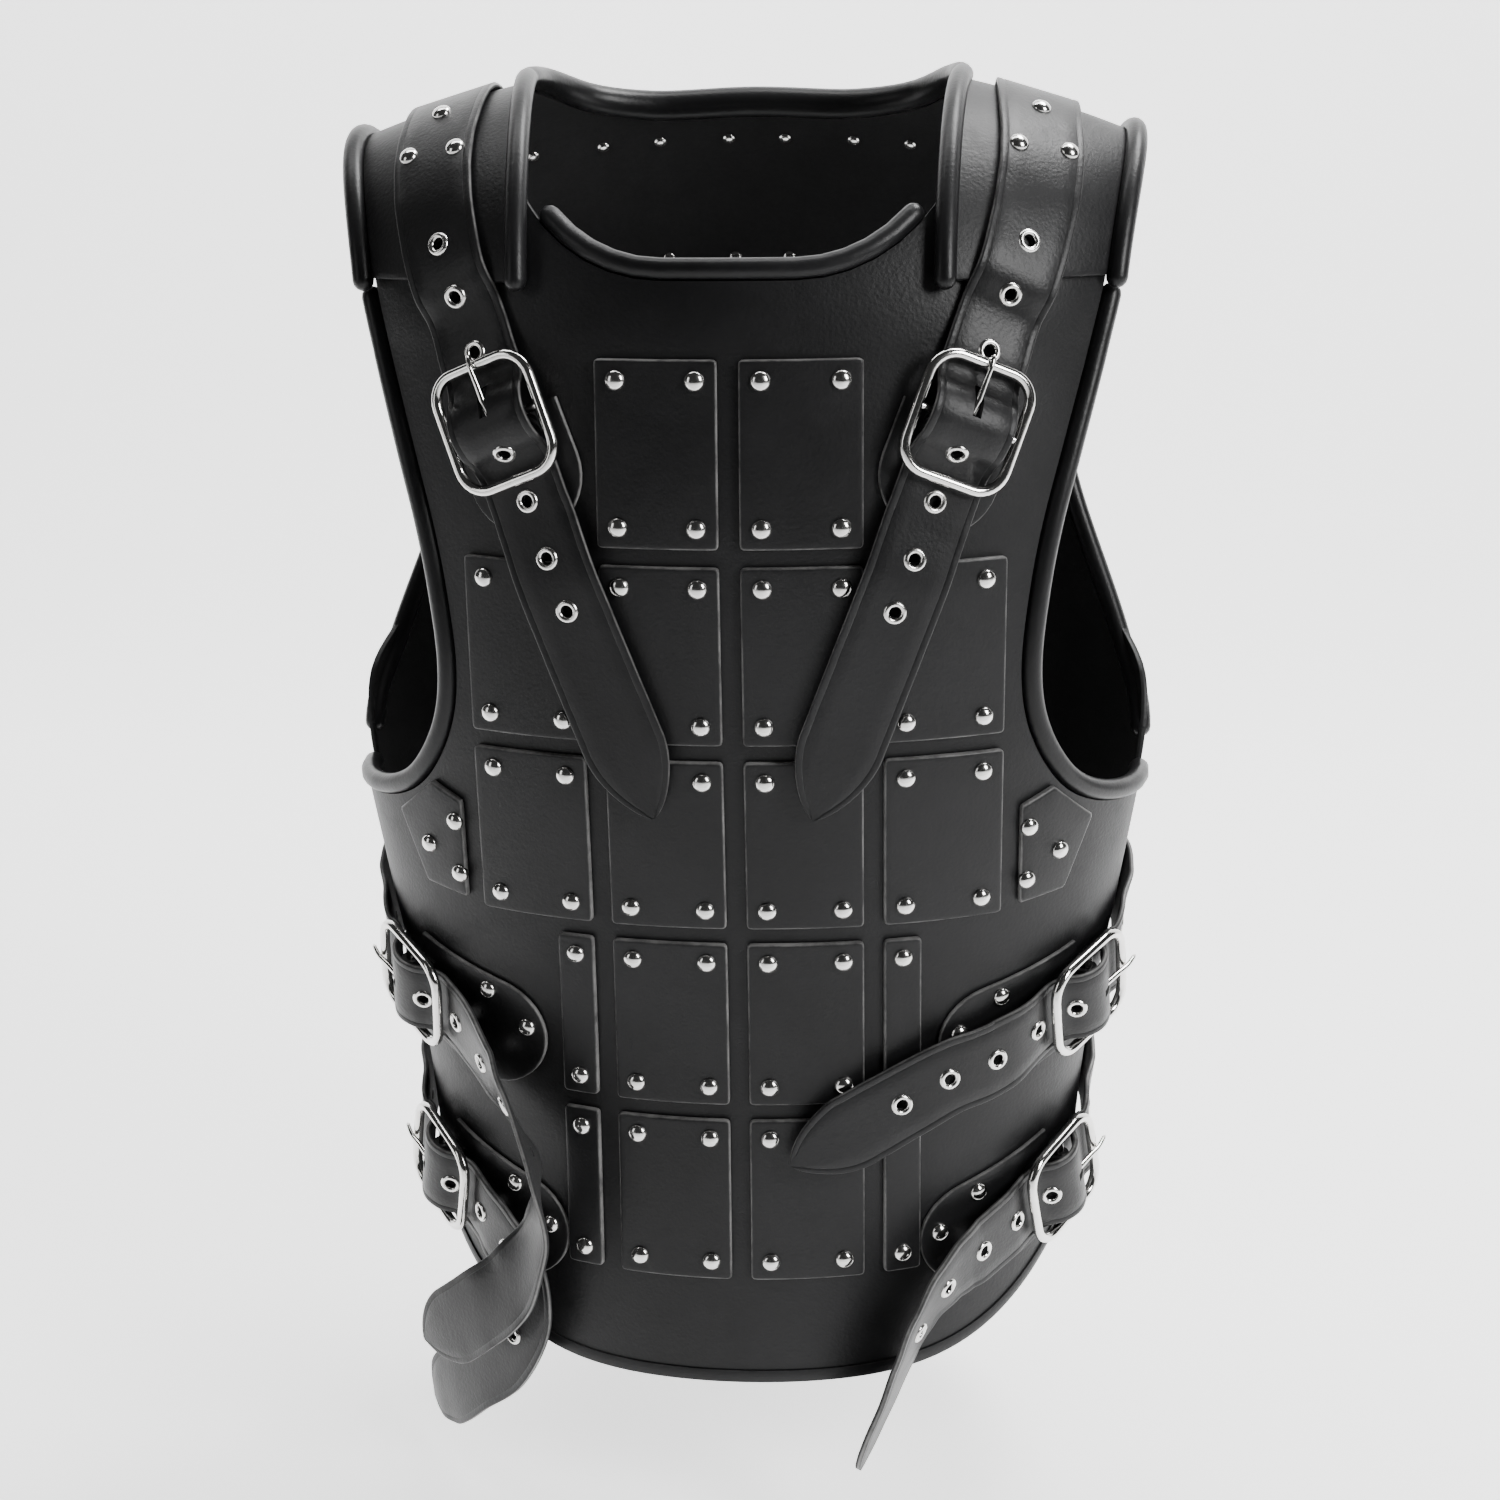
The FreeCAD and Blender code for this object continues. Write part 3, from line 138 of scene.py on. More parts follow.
class BrigandineStraps(bpy.types.PropertyGroup):
    """Straps and buckles."""
    strap_wall: length("Strap leather", 0.0028, "Thickness of the straps")
    strap_width: length("Strap width", 0.040, "Width of the straps")
    top_x: length("Strap at the shoulder", 0.134, "Distance of a shoulder strap from the middle at its top")
    tip_x: length("Strap at its tip", 0.035, "Distance of a shoulder strap's tip from the middle")
    bend_run: length("Strap bend", 0.100, "Way from the ridge to the strap's bend")
    start_run: length("Strap start", -0.024, "Start of a shoulder strap behind the ridge")
    shoulder_bar_run: length("Shoulder bar", 0.194, "Way from the ridge to the shoulder buckle's bar")
    shoulder_tip_run: length("Shoulder tip", 0.372, "Way from the ridge to the shoulder strap's tip")
    eyelet_pitch: length("Eyelet pitch", 0.026, "Distance between two eyelets")
    eyelet_radius: length("Eyelet radius", 0.0054, "Outer radius of an eyelet")
    eyelet_bore: length("Eyelet bore", 0.00275, "Radius of an eyelet's hole")
    wire_radius: length("Wire radius", 0.0025, "Radius of the buckle frames' wire")
    bar_radius: length("Bar radius", 0.0020, "Radius of the buckles' centre bar")
    frame_width: length("Frame width", 0.055, "Width of a buckle frame")
    frame_length: length("Frame length", 0.059, "Length of a buckle frame")
    frame_corner: length("Frame corner", 0.015, "Outer corner radius of a buckle frame")
    frame_play: length("Frame play", 0.0019, "Room of the frame over the strap")
    bar_play: length("Bar play", 0.00025, "Room round the bar in its fold")
    prong_radius: length("Prong radius", 0.0017, "Radius of a prong at its root")
    prong_overhang: length("Prong overhang", 0.0045, "How far a shoulder prong reaches past the frame's wire")
    side_prong_overhang: length("Side prong overhang", 0.009, "How far a side prong reaches past the wire")
    chape_wall: length("Chape leather", 0.0020, "Thickness of the chapes")
    chape_width: length("Chape width", 0.056, "Width of the chapes")
    shoulder_chape: length("Shoulder chape", 0.052, "Length of the chapes of the shoulder buckles")
    side_chape: length("Side chape", 0.078, "Length of the chapes of the side buckles")
    knuckle_width: length("Fold width", 0.034, "Width of the fold round a bar")
    prong_slot: length("Prong slot", 0.006, "Width of the slot in the fold")
    upper_bar: length("Upper bar height", 0.186, "Height of the upper side buckles")
    lower_bar: length("Lower bar height", 0.084, "Height of the lower side buckles")
    side_bar: angle("Side bar turn", 64, "Turn of the side buckles round the body")
    side_rise: length("Side strap rise", 0.036, "How far the side straps rise towards the back")


class BrigandineFinish(bpy.types.PropertyGroup):
    """Colours and light."""
    shell_tint: tint("Shell leather", (0.0050, 0.0050, 0.0054), "Colour of the shells")
    plate_tint: tint("Plate leather", (0.0060, 0.0060, 0.0064), "Colour of the plates and straps")
    # The edge colour is partly the lighter rubbed and cut edges of the leather and partly a painted highlight
    # along the rims
    edge_tint: tint("Burnished edge", (0.210, 0.208, 0.205), "Colour of rubbed and cut edges")
    flesh_tint: tint("Flesh side", (0.042, 0.042, 0.043), "Colour of the straps' inner side")
    lining_tint: tint("Inside", (0.010, 0.010, 0.0105), "Colour of the shells' inner side")
    nickel_tint: tint("Nickel", (0.80, 0.79, 0.77), "Colour of the metal")
    floor_tint: tint("Floor", (0.93, 0.93, 0.93), "Colour of the floor and the backdrop")
    camera_distance: length("Camera distance", 1.240, "Distance of the camera from the body's axis")
    camera_height: length("Camera height", 0.669, "Height of the camera above the hem")
    camera_turn: angle("Camera turn", 4.1, "Turn of the camera round the object")
    camera_tilt: angle("Camera tilt", 17.0, "Tilt of the camera below the horizon")
    camera_roll: angle("Camera roll", -0.74, "Roll of the camera")
    camera_side: length("Camera offset", -0.0013, "Sideways offset of the camera")
    lens: bpy.props.FloatProperty(name="Lens", description="Focal length", default=61.4, unit="CAMERA")


# The form of the body, as in the part's source
class Form:
    """The skin of the body and what lies on it, from the sizes in the sidebar."""

    def __init__(self, scene):
        self.body = body = scene.brigandine_body
        self.goods = scene.brigandine_leather
        self.straps = scene.brigandine_straps
        self.knots = list(body.heights)
        self.widths, self.fronts, self.backs = list(body.half_widths), list(body.fronts), list(body.backs)
        self.rise, self.wall, self.gap = body.shoulder_rise, body.shell_wall, body.layer_gap
        self.top = self.knots[-1]
        self.quarter = self.rise * math.pi / 2
        self.hem_run = self.quarter + self.top
        self.ridge = self.top + self.rise
        straps = self.straps
        self.plate_floor = self.wall + self.gap * 1.5
        self.plate_top = self.plate_floor + self.goods.plate_wall
        self.chape_floor = self.wall + self.gap * 2
        self.chape_top = self.chape_floor + straps.chape_wall
        self.bar_height = (self.chape_top + self.gap + straps.strap_wall + straps.frame_play
                           + straps.wire_radius)
        self.knuckle = straps.bar_radius + straps.bar_play + straps.chape_wall
        self.bar_reach = straps.frame_width / 2 - straps.wire_radius
        self.side_reach = straps.frame_length / 2 - straps.wire_radius
        self.under_wire = -(straps.wire_radius + straps.frame_play + straps.strap_wall / 2)
        self.over_bar = self.knuckle / math.cos(math.pi / 8) + self.gap + straps.strap_wall / 2
        self.exit_reach = self.side_reach + straps.wire_radius * 2.4

    def smooth(self, at, knots, values):
        at = min(max(at, knots[0]), knots[-1])
        i = max(k for k in range(len(knots) - 1) if knots[k] <= at)

        def slope(k):
            low, high = max(k - 1, 0), min(k + 1, len(knots) - 1)
            return (values[high] - values[low]) / (knots[high] - knots[low])
        span = knots[i + 1] - knots[i]
        u = (at - knots[i]) / span
        return ((1 + 2 * u) * (1 - u) ** 2 * values[i] + u * u * (3 - 2 * u) * values[i + 1]
                + u * (1 - u) ** 2 * span * slope(i) - u * u * (1 - u) * span * slope(i + 1))

    def skin(self, turn, run):
        if run < 0:
            turn = math.pi - turn
        down = abs(run)
        if down < self.quarter:
            height = self.top + self.rise * math.cos(down / self.rise)
            reach = math.sin(down / self.rise)
            ease = (1 + math.cos(math.pi * down / self.quarter)) / 2
        else:
            height, reach, ease = self.top - (down - self.quarter), 1.0, 0.0
        level = min(height, self.top)
        depth = self.smooth(level, self.knots, self.fronts if math.cos(turn) >= 0 else self.backs)
        x = self.smooth(level, self.knots, self.widths) * math.sin(turn)
        inner, outer = self.body.neck_half_width, self.body.flap_half_width
        fall = self.body.shoulder_fall * (x * x - inner * inner) / (outer * outer - inner * inner)
        return Vector((x, -depth * reach * math.cos(turn), height - fall * ease))

    def normal(self, turn, run):
        step_turn, step_run = DEGREE / 5, self.rise / 500
        side = self.skin(turn + step_turn, run) - self.skin(turn - step_turn, run)
        down = self.skin(turn, run + step_run) - self.skin(turn, run - step_run)
        if abs(run) < step_run * 2:
            down = Vector((0, -1, 0))
        out = side.cross(down).normalized()
        at = self.skin(turn, run)
        core = Vector((0, 0, min(at.z, self.top)))
        return out if out.dot(at - core) > 0 else -out

    def on(self, turn, run, lift):
        return self.skin(turn, run) + self.normal(turn, run) * lift

    def turn_at(self, x, run):
        level = min(self.top, self.hem_run - abs(run))
        return math.asin(max(-1.0, min(1.0, x / self.smooth(level, self.knots, self.widths))))

    def run_where(self, test, low, high):
        for _ in range(34):
            middle = (low + high) / 2
            low, high = (middle, high) if test(middle) else (low, middle)
        return (low + high) / 2

    def run_at(self, x, z):
        return self.run_where(lambda r: self.skin(self.turn_at(x, r), r).z > z, 0.0, self.hem_run * 1.1)

    def run_at_depth(self, x, y):
        return self.run_where(lambda r: self.skin(self.turn_at(x, r), r).y > y, -self.quarter,
                              self.body.flap_reach)

    def hem_height(self, turn):
        return self.body.hem_side_rise * abs(math.sin(turn)) ** 5

    def step_share(self, run):
        low, high = STEP_FROM * self.hem_run, STEP_TO * self.hem_run
        u = min(1.0, max(0.0, (run - low) / (high - low)))
        return u * u * (3 - 2 * u)

    def flap_lift(self, run):
        return (self.wall + self.gap * 2) * self.step_share(run)

    def roll_lift(self, run, radius):
        return self.flap_lift(run) + self.wall / 2 + (radius - self.wall / 2) * self.step_share(run)

    EDGE_RUNS = (-1.0, -0.62, -0.555, -0.50, -0.40, -0.32, -0.20, 0.0)
    EDGE_TURNS = (1.0, 1.0, 0.94, 0.78, 0.62, 0.575, 0.62)

    def back_edge(self, run):
        body = self.body
        top, tip = (math.asin(half / self.widths[-1]) for half in (body.flap_half_width, body.flap_tip_half))
        turns = [body.back_edge * part for part in self.EDGE_TURNS] + [top, tip]
        return self.smooth(run / self.hem_run, self.EDGE_RUNS + (body.flap_reach / self.hem_run,), turns)

    def neck_x(self, y):
        """Half of the neck's width at a depth before the axis, which narrows to the tips of the flaps."""
        body = self.body
        tip = self.skin(self.turn_at(body.flap_tip_inner, body.flap_reach), body.flap_reach).y
        return body.neck_half_width + (body.flap_tip_inner - body.neck_half_width) * y / tip

    def strap_x(self, run):
        straps = self.straps
        ease, past = straps.strap_width, run - straps.bend_run
        slope = (straps.top_x - straps.tip_x) / (straps.shoulder_tip_run - straps.bend_run)
        if past > ease:
            return straps.top_x - slope * past
        return straps.top_x - slope * (past + ease) ** 2 / (4 * ease) if past > -ease else straps.top_x

    def seats(self):
        """The centre of each buckle's bar and its directions, by name."""
        out = {}
        straps = self.straps
        for name, side in SIDES:
            run, step = straps.shoulder_bar_run, straps.eyelet_pitch
            ends = [self.on(self.turn_at(self.strap_x(r), r) * side, r, 0) for r in (run - step, run + step)]
            turn = self.turn_at(self.strap_x(run), run) * side
            out[name + "_shoulder"] = Seat(self, turn, run, ends[0] - ends[1])
            for level, height in (("upper", straps.upper_bar), ("lower", straps.lower_bar)):
                run = self.hem_run - height
                turn = straps.side_bar
                behind = self.skin((turn + 10 * DEGREE) * side, run - straps.side_rise / 5)
                out[name + "_" + level] = Seat(self, turn * side, run, behind - self.skin(turn * side, run))
        return out


class Seat:
    """A buckle's place: the bar's centre, the way along it, back along the strap and outwards."""

    def __init__(self, form, turn, run, towards):
        self.form, self.turn, self.run = form, turn, run
        self.out = form.normal(turn, run)
        self.at = form.skin(turn, run) + self.out * form.bar_height
        self.back = (towards - self.out * towards.dot(self.out)).normalized()
        self.across = self.back.cross(self.out)

    def place(self, x, d, lift):
        return self.at + self.across * x + self.back * d + self.out * lift

    def below(self, x, d):
        form, turn, run, step = self.form, self.turn, self.run, DEGREE / 10
        for _ in range(5):
            off = form.skin(turn, run) - self.at
            miss = (x - off.dot(self.across), d - off.dot(self.back))
            by_turn = (form.skin(turn + step, run) - form.skin(turn, run)) / step
            by_run = (form.skin(turn, run + form.rise * step) - form.skin(turn, run)) / (form.rise * step)
            a, b = by_turn.dot(self.across), by_run.dot(self.across)
            c, e = by_turn.dot(self.back), by_run.dot(self.back)
            base = a * e - b * c
            turn += (miss[0] * e - miss[1] * b) / base
            run += (miss[1] * a - miss[0] * c) / base
        return turn, run


# Mesh making
def put_mesh(name, points, faces):
    """A new object in the scene with this mesh, smooth but for its sharp edges."""
    mesh = bpy.data.meshes.new(name)
    mesh.from_pydata([tuple(p) for p in points], [], faces)
    mesh.update()
    item = bpy.data.objects.new(name, mesh)
    bpy.context.scene.collection.objects.link(item)
    smooth_shade(item)
    return item


def smooth_shade(item, limit=SHARP):
    item.data.polygons.foreach_set("use_smooth", [True] * len(item.data.polygons))
    item.data.set_sharp_from_angle(angle=limit)


def outward(item):
    """Turns a closed mesh's faces outwards."""
    work = bmesh.new()
    work.from_mesh(item.data)
    bmesh.ops.recalc_face_normals(work, faces=work.faces)
    if work.calc_volume(signed=True) < 0:
        bmesh.ops.reverse_faces(work, faces=work.faces)
    work.to_mesh(item.data)
    work.free()


def settle(item):
    """Applies an object's modifiers to its mesh."""
    graph = bpy.context.evaluated_depsgraph_get()
    mesh = bpy.data.meshes.new_from_object(item.evaluated_get(graph))
    item.modifiers.clear()
    old, item.data = item.data, mesh
    bpy.data.meshes.remove(old)
    mesh.name = item.name
    return item


def discard(*items):
    for item in items:
        bpy.data.objects.remove(item)


def join(name, items):
    """One object from several, which are taken away."""
    points, faces, rims = [], [], []
    for item in items:
        start = len(points)
        points += [v.co.copy() for v in item.data.vertices]
        faces += [[start + i for i in p.vertices] for p in item.data.polygons]
        rim = item.data.attributes.get("rim")
        rims += [d.value for d in rim.data] if rim else [0.0] * len(item.data.vertices)
    discard(*items)
    whole = put_mesh(name, points, faces)
    mark(whole, "rim", rims)
    return whole


def mark(item, name, values):
    """Stores a number at each point of a mesh for its material."""
    attribute = item.data.attributes.get(name) or item.data.attributes.new(name, "FLOAT", "POINT")
    attribute.data.foreach_set("value", values)


def mark_rest(item):
    """Stores where each point lies at rest, as the place of the leather's grain."""
    attribute = item.data.attributes.new("rest_place", "FLOAT_VECTOR", "POINT")
    attribute.data.foreach_set("vector", [c for v in item.data.vertices for c in v.co])


def sheet(name, place, across, along):
    """A closed sheet. place(i, j, top) is a point for shares i and j on its lower or upper face."""
    points, faces = [], []
    for top in (0, 1):
        for i in across:
            for j in along:
                points.append(place(i, j, top))
    wide, deep = len(across), len(along)
    layer = wide * deep
    for i in range(wide - 1):
        for j in range(deep - 1):
            a, b = i * deep + j, (i + 1) * deep + j
            faces.append((a, b, b + 1, a + 1))
            faces.append((a + layer, a + 1 + layer, b + 1 + layer, b + layer))
    rim = ([i * deep for i in range(wide - 1)] + [(wide - 1) * deep + j for j in range(deep - 1)]
           + [i * deep + deep - 1 for i in range(wide - 1, 0, -1)] + [j for j in range(deep - 1, 0, -1)])
    for k, a in enumerate(rim):
        b = rim[(k + 1) % len(rim)]
        faces.append((a, a + layer, b + layer, b))
    item = put_mesh(name, points, faces)
    outward(item)
    return item


def even(count):
    return [k / count for k in range(count + 1)]


def rings_mesh(name, rings, closed=False):
    """A solid through closed rings; closed joins the last ring to the first."""
    count = len(rings[0])
    points = [p for one in rings for p in one]
    faces = []
    for k in range(len(rings) - (0 if closed else 1)):
        after = (k + 1) % len(rings)
        for i in range(count):
            j = (i + 1) % count
            faces.append((k * count + i, k * count + j, after * count + j, after * count + i))
    if not closed:
        faces.append(tuple(range(count))[::-1])
        faces.append(tuple((len(rings) - 1) * count + i for i in range(count)))
    item = put_mesh(name, points, faces)
    outward(item)
    return item


def prism(name, outline, way):
    return rings_mesh(name, [outline, [p + way for p in outline]])


def carve(item, cutters):
    """Cuts forms out of an object."""
    for cutter in cutters:
        change = item.modifiers.new("cut", "BOOLEAN")
        change.operation, change.solver, change.object = "DIFFERENCE", "EXACT", cutter
    settle(item)
    discard(*cutters)
    return item


def spline(points, count):
    """count points evenly along a smooth line through points."""
    fine = []
    ends = [points[0] * 2 - points[1]] + list(points) + [points[-1] * 2 - points[-2]]
    for k in range(1, len(ends) - 2):
        p = ends[k - 1:k + 3]
        spans = [max((p[i + 1] - p[i]).length, 1e-9) ** 0.5 for i in range(3)]
        t = [0.0, spans[0], spans[0] + spans[1], sum(spans)]
        for step in range(12):
            u = t[1] + (t[2] - t[1]) * step / 12
            a = [p[i] * ((t[i + 1] - u) / (t[i + 1] - t[i])) + p[i + 1] * ((u - t[i]) / (t[i + 1] - t[i]))
                 for i in range(3)]
            b = [a[i] * ((t[i + 2] - u) / (t[i + 2] - t[i])) + a[i + 1] * ((u - t[i]) / (t[i + 2] - t[i]))
                 for i in range(2)]
            fine.append(b[0] * ((t[2] - u) / (t[2] - t[1])) + b[1] * ((u - t[1]) / (t[2] - t[1])))
    fine.append(points[-1])
    return resample(fine, count)


def resample(line, count):
    lengths = [0.0]
    for a, b in zip(line, line[1:]):
        lengths.append(lengths[-1] + (b - a).length)
    out, k = [], 0
    for i in range(count):
        want = lengths[-1] * i / (count - 1)
        while k < len(line) - 2 and lengths[k + 1] < want:
            k += 1
        span = max(lengths[k + 1] - lengths[k], 1e-12)
        out.append(line[k].lerp(line[k + 1], (want - lengths[k]) / span))
    return out


def directions(points):
    return [(points[min(k + 1, len(points) - 1)] - points[max(k - 1, 0)]).normalized()
            for k in range(len(points))]


def ring_round(point, side, out, radius, corners):
    """A round section."""
    return [point + side * (radius * math.cos(2 * math.pi * c / corners))
            + out * (radius * math.sin(2 * math.pi * c / corners)) for c in range(corners)]


def roll_along(name, points, outs, radii, corners=16):
    """A rolled leather edge: a round bead with a rounded end along points."""
    ways = directions(points)
    rings = []
    count = len(points)
    for k, (point, way) in enumerate(zip(points, ways)):
        side = way.cross(outs[k]).normalized()
        out = side.cross(way)
        rings.append(ring_round(point, side, out, radii[k], corners))
    caps = []
    for end, step in ((0, -1), (count - 1, 1)):
        middle = points[end]
        cap = []
        for turned in (25, 50, 75):
            small, ahead = math.cos(turned * DEGREE), math.sin(turned * DEGREE)
            off = ways[end] * (step * radii[end] * ahead)
            cap.append([middle + (p - middle) * small + off for p in rings[end]])
        caps.append(cap)
    return rings_mesh(name, caps[0][::-1] + rings + caps[1])


# Materials
class Wire:
    """A socket of a node tree that can stand in a formula."""

    def __init__(self, tree, socket):
        self.tree, self.socket = tree, socket

    def maths(self, operation, *values):
        return self.tree.node("ShaderNodeMath", {"operation": operation}, values)

    def __add__(self, other):
        return self.maths("ADD", self, other)

    def __sub__(self, other):
        return self.maths("SUBTRACT", self, other)

    def __mul__(self, other):
        return self.maths("MULTIPLY", self, other)

    def __rsub__(self, other):
        return self.maths("SUBTRACT", other, self)

    __radd__, __rmul__ = __add__, __mul__

    def ramp(self, low, high):
        """0 below low, 1 above high and smooth between them."""
        settings = {"interpolation_type": "SMOOTHSTEP"}
        return self.tree.node("ShaderNodeMapRange", settings, {0: self, 1: low, 2: high})


class Finish:
    """A material whose nodes are made by node() and whose surface is one shader."""

    def __init__(self, name):
        self.material = bpy.data.materials.new(name)
        self.material.use_nodes = True
        self.nodes, self.links = self.material.node_tree.nodes, self.material.node_tree.links
        self.nodes.clear()

    def node(self, kind, settings=(), values=(), output=0):
        made = self.nodes.new(kind)
        for key, value in dict(settings).items():
            setattr(made, key, value)
        pairs = values.items() if isinstance(values, dict) else enumerate(values)
        for key, value in pairs:
            if isinstance(value, Wire):
                self.links.new(value.socket, made.inputs[key])
            else:
                made.inputs[key].default_value = value
        return Wire(self, made.outputs[output]) if len(made.outputs) else None

    def attribute(self, name, output="Fac"):
        return self.node("ShaderNodeAttribute", {"attribute_name": name}, (), output)

    def noise(self, place, scale, detail=3.0, roughness=0.55):
        return self.node("ShaderNodeTexNoise", {}, {"Vector": place, "Scale": scale, "Detail": detail,
                                                     "Roughness": roughness}, 0)

    def cells(self, place, scale, feature="F1"):
        return self.node("ShaderNodeTexVoronoi", {"feature": feature}, {"Vector": place, "Scale": scale}, 0)

    def mix(self, factor, a, b):
        def full(colour):
            return colour if isinstance(colour, Wire) else (*colour, 1.0)
        return self.node("ShaderNodeMix", {"data_type": "RGBA"}, {0: factor, 6: full(a), 7: full(b)}, 2)

    def bump(self, height, strength, distance, below=None):
        values = {"Strength": strength, "Distance": distance, "Height": height}
        if below:
            values["Normal"] = below
        return self.node("ShaderNodeBump", {}, values)

    def surface(self, **values):
        names = {key.replace("_", " ").title().replace("Ior", "IOR"): value for key, value in values.items()}
        shader = self.node("ShaderNodeBsdfPrincipled", {}, names)
        self.node("ShaderNodeOutputMaterial", {}, {0: shader})
        return self.material


PEBBLE_SCALE, PORE_SCALE, CLOUD_SCALE = 620.0, 1500.0, 9.0
SCUFF_SCALE, NAP_SCALE, BLOT_SCALE = 55.0, 420.0, 38.0
LEATHER_SHEEN, LIGHTER, DARKER, DULLER = 0.28, 1.9, 0.55, 0.72
# Name, colour, roughness and depth of grain of each leather, and the colour of its flesh side
LEATHERS = (("shell leather", "shell_tint", 0.44, 0.45, "lining_tint"),
            ("plate leather", "plate_tint", 0.40, 0.40, None),
            ("roll leather", "shell_tint", 0.36, 0.30, None),
            ("strap leather", "plate_tint", 0.38, 0.40, "flesh_tint"),
            ("chape leather", "plate_tint", 0.40, 0.40, None))
METALS = (("nickel rivets", 0.14), ("nickel eyelets", 0.18), ("buckle nickel", 0.10))


def leather_finish(name, tint, edge, rough, grain, flesh=None, rest=False):
    """Black leather: pebbled grain, soft folds, worn rims lightened further as a painted highlight and, where
    it is given, a flesh side.
    """
    make = Finish(name)
    if rest:
        place = make.node("ShaderNodeAttribute", {"attribute_name": "rest_place"}, (), "Vector")
    else:
        place = make.node("ShaderNodeTexCoord", {}, (), "Object")
    pebbles = make.cells(place, PEBBLE_SCALE, "SMOOTH_F1")
    pores = make.noise(place, PORE_SCALE, 2.0)
    cloud = make.noise(place, CLOUD_SCALE, 4.0)
    scuff = make.noise(place, SCUFF_SCALE, 6.0, 0.7)
    rim = make.attribute("rim")
    # The rim mask, broken up by scuffs, lightens the rims towards the edge colour: rubbed cut edges, with the
    # colour raised further as a painted highlight
    wear_and_highlight = (rim * (scuff.ramp(0.25, 0.75) * 0.6 + 0.4)).ramp(0.15, 0.95)
    colour = make.mix(cloud.ramp(0.35, 0.7), tint, tuple(c * LIGHTER for c in tint))
    colour = make.mix(wear_and_highlight, colour, edge)
    gloss = rough + (cloud - 0.5) * 0.12 + scuff.ramp(0.45, 0.8) * 0.08 - wear_and_highlight * 0.10
    height = pebbles * 0.6 + pores * 0.4
    if flesh:
        inner = make.attribute("flesh").ramp(0.35, 0.75)
        nap = make.noise(place, NAP_SCALE, 8.0, 0.75)
        blot = make.noise(place, BLOT_SCALE, 4.0)
        worn = nap.ramp(0.3, 0.75) * 0.6 + blot.ramp(0.3, 0.7) * 0.4
        suede = make.mix(worn, tuple(c * DARKER for c in flesh), flesh)
        colour = make.mix(inner, colour, suede)
        gloss = gloss + inner * (0.9 - gloss)
        height = height + inner * (nap * 1.6 - height)
    folds = make.bump(scuff, 0.25, 0.0006)
    return make.surface(base_color=colour, roughness=gloss, specular_ior_level=LEATHER_SHEEN,
                        normal=make.bump(height, grain, 0.0004, folds))


def metal_finish(name, tint, rough):
    """Polished nickel with faint rubbing marks and a darker film in patches."""
    make = Finish(name)
    place = make.node("ShaderNodeTexCoord", {}, (), "Object")
    marks = make.noise(place, 900.0, 5.0, 0.7)
    film = make.noise(place, 160.0, 3.0)
    colour = make.mix(film.ramp(0.5, 0.75) * 0.5, tint, tuple(c * DULLER for c in tint))
    gloss = rough + marks.ramp(0.4, 0.8) * 0.10 + film.ramp(0.5, 0.8) * 0.06
    return make.surface(base_color=colour, metallic=1.0, roughness=gloss,
                        normal=make.bump(marks, 0.06, 0.0002))


def finishes(scene):
    """The materials by name, made once."""
    if "shell leather" not in bpy.data.materials:
        look = scene.brigandine_finish
        for name, tint, rough, grain, flesh in LEATHERS:
            leather_finish(name, tuple(getattr(look, tint)), tuple(look.edge_tint), rough, grain,
                           flesh and tuple(getattr(look, flesh)), name == "strap leather")
        for name, rough in METALS:
            metal_finish(name, tuple(look.nickel_tint), rough)
    return bpy.data.materials


def dress(item, material, body, slot, *nodes):
    """Gives a finished piece its name, its material and its body, and hides the CAD nodes that it stands for.
    """
    item.name = item.data.name = item.name.split(".")[0] + "_dressed"
    item.data.materials.clear()
    item.data.materials.append(finishes(bpy.context.scene)[material])
    if body:
        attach(item, body)
    if nodes:
        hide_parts(*nodes)
    return item


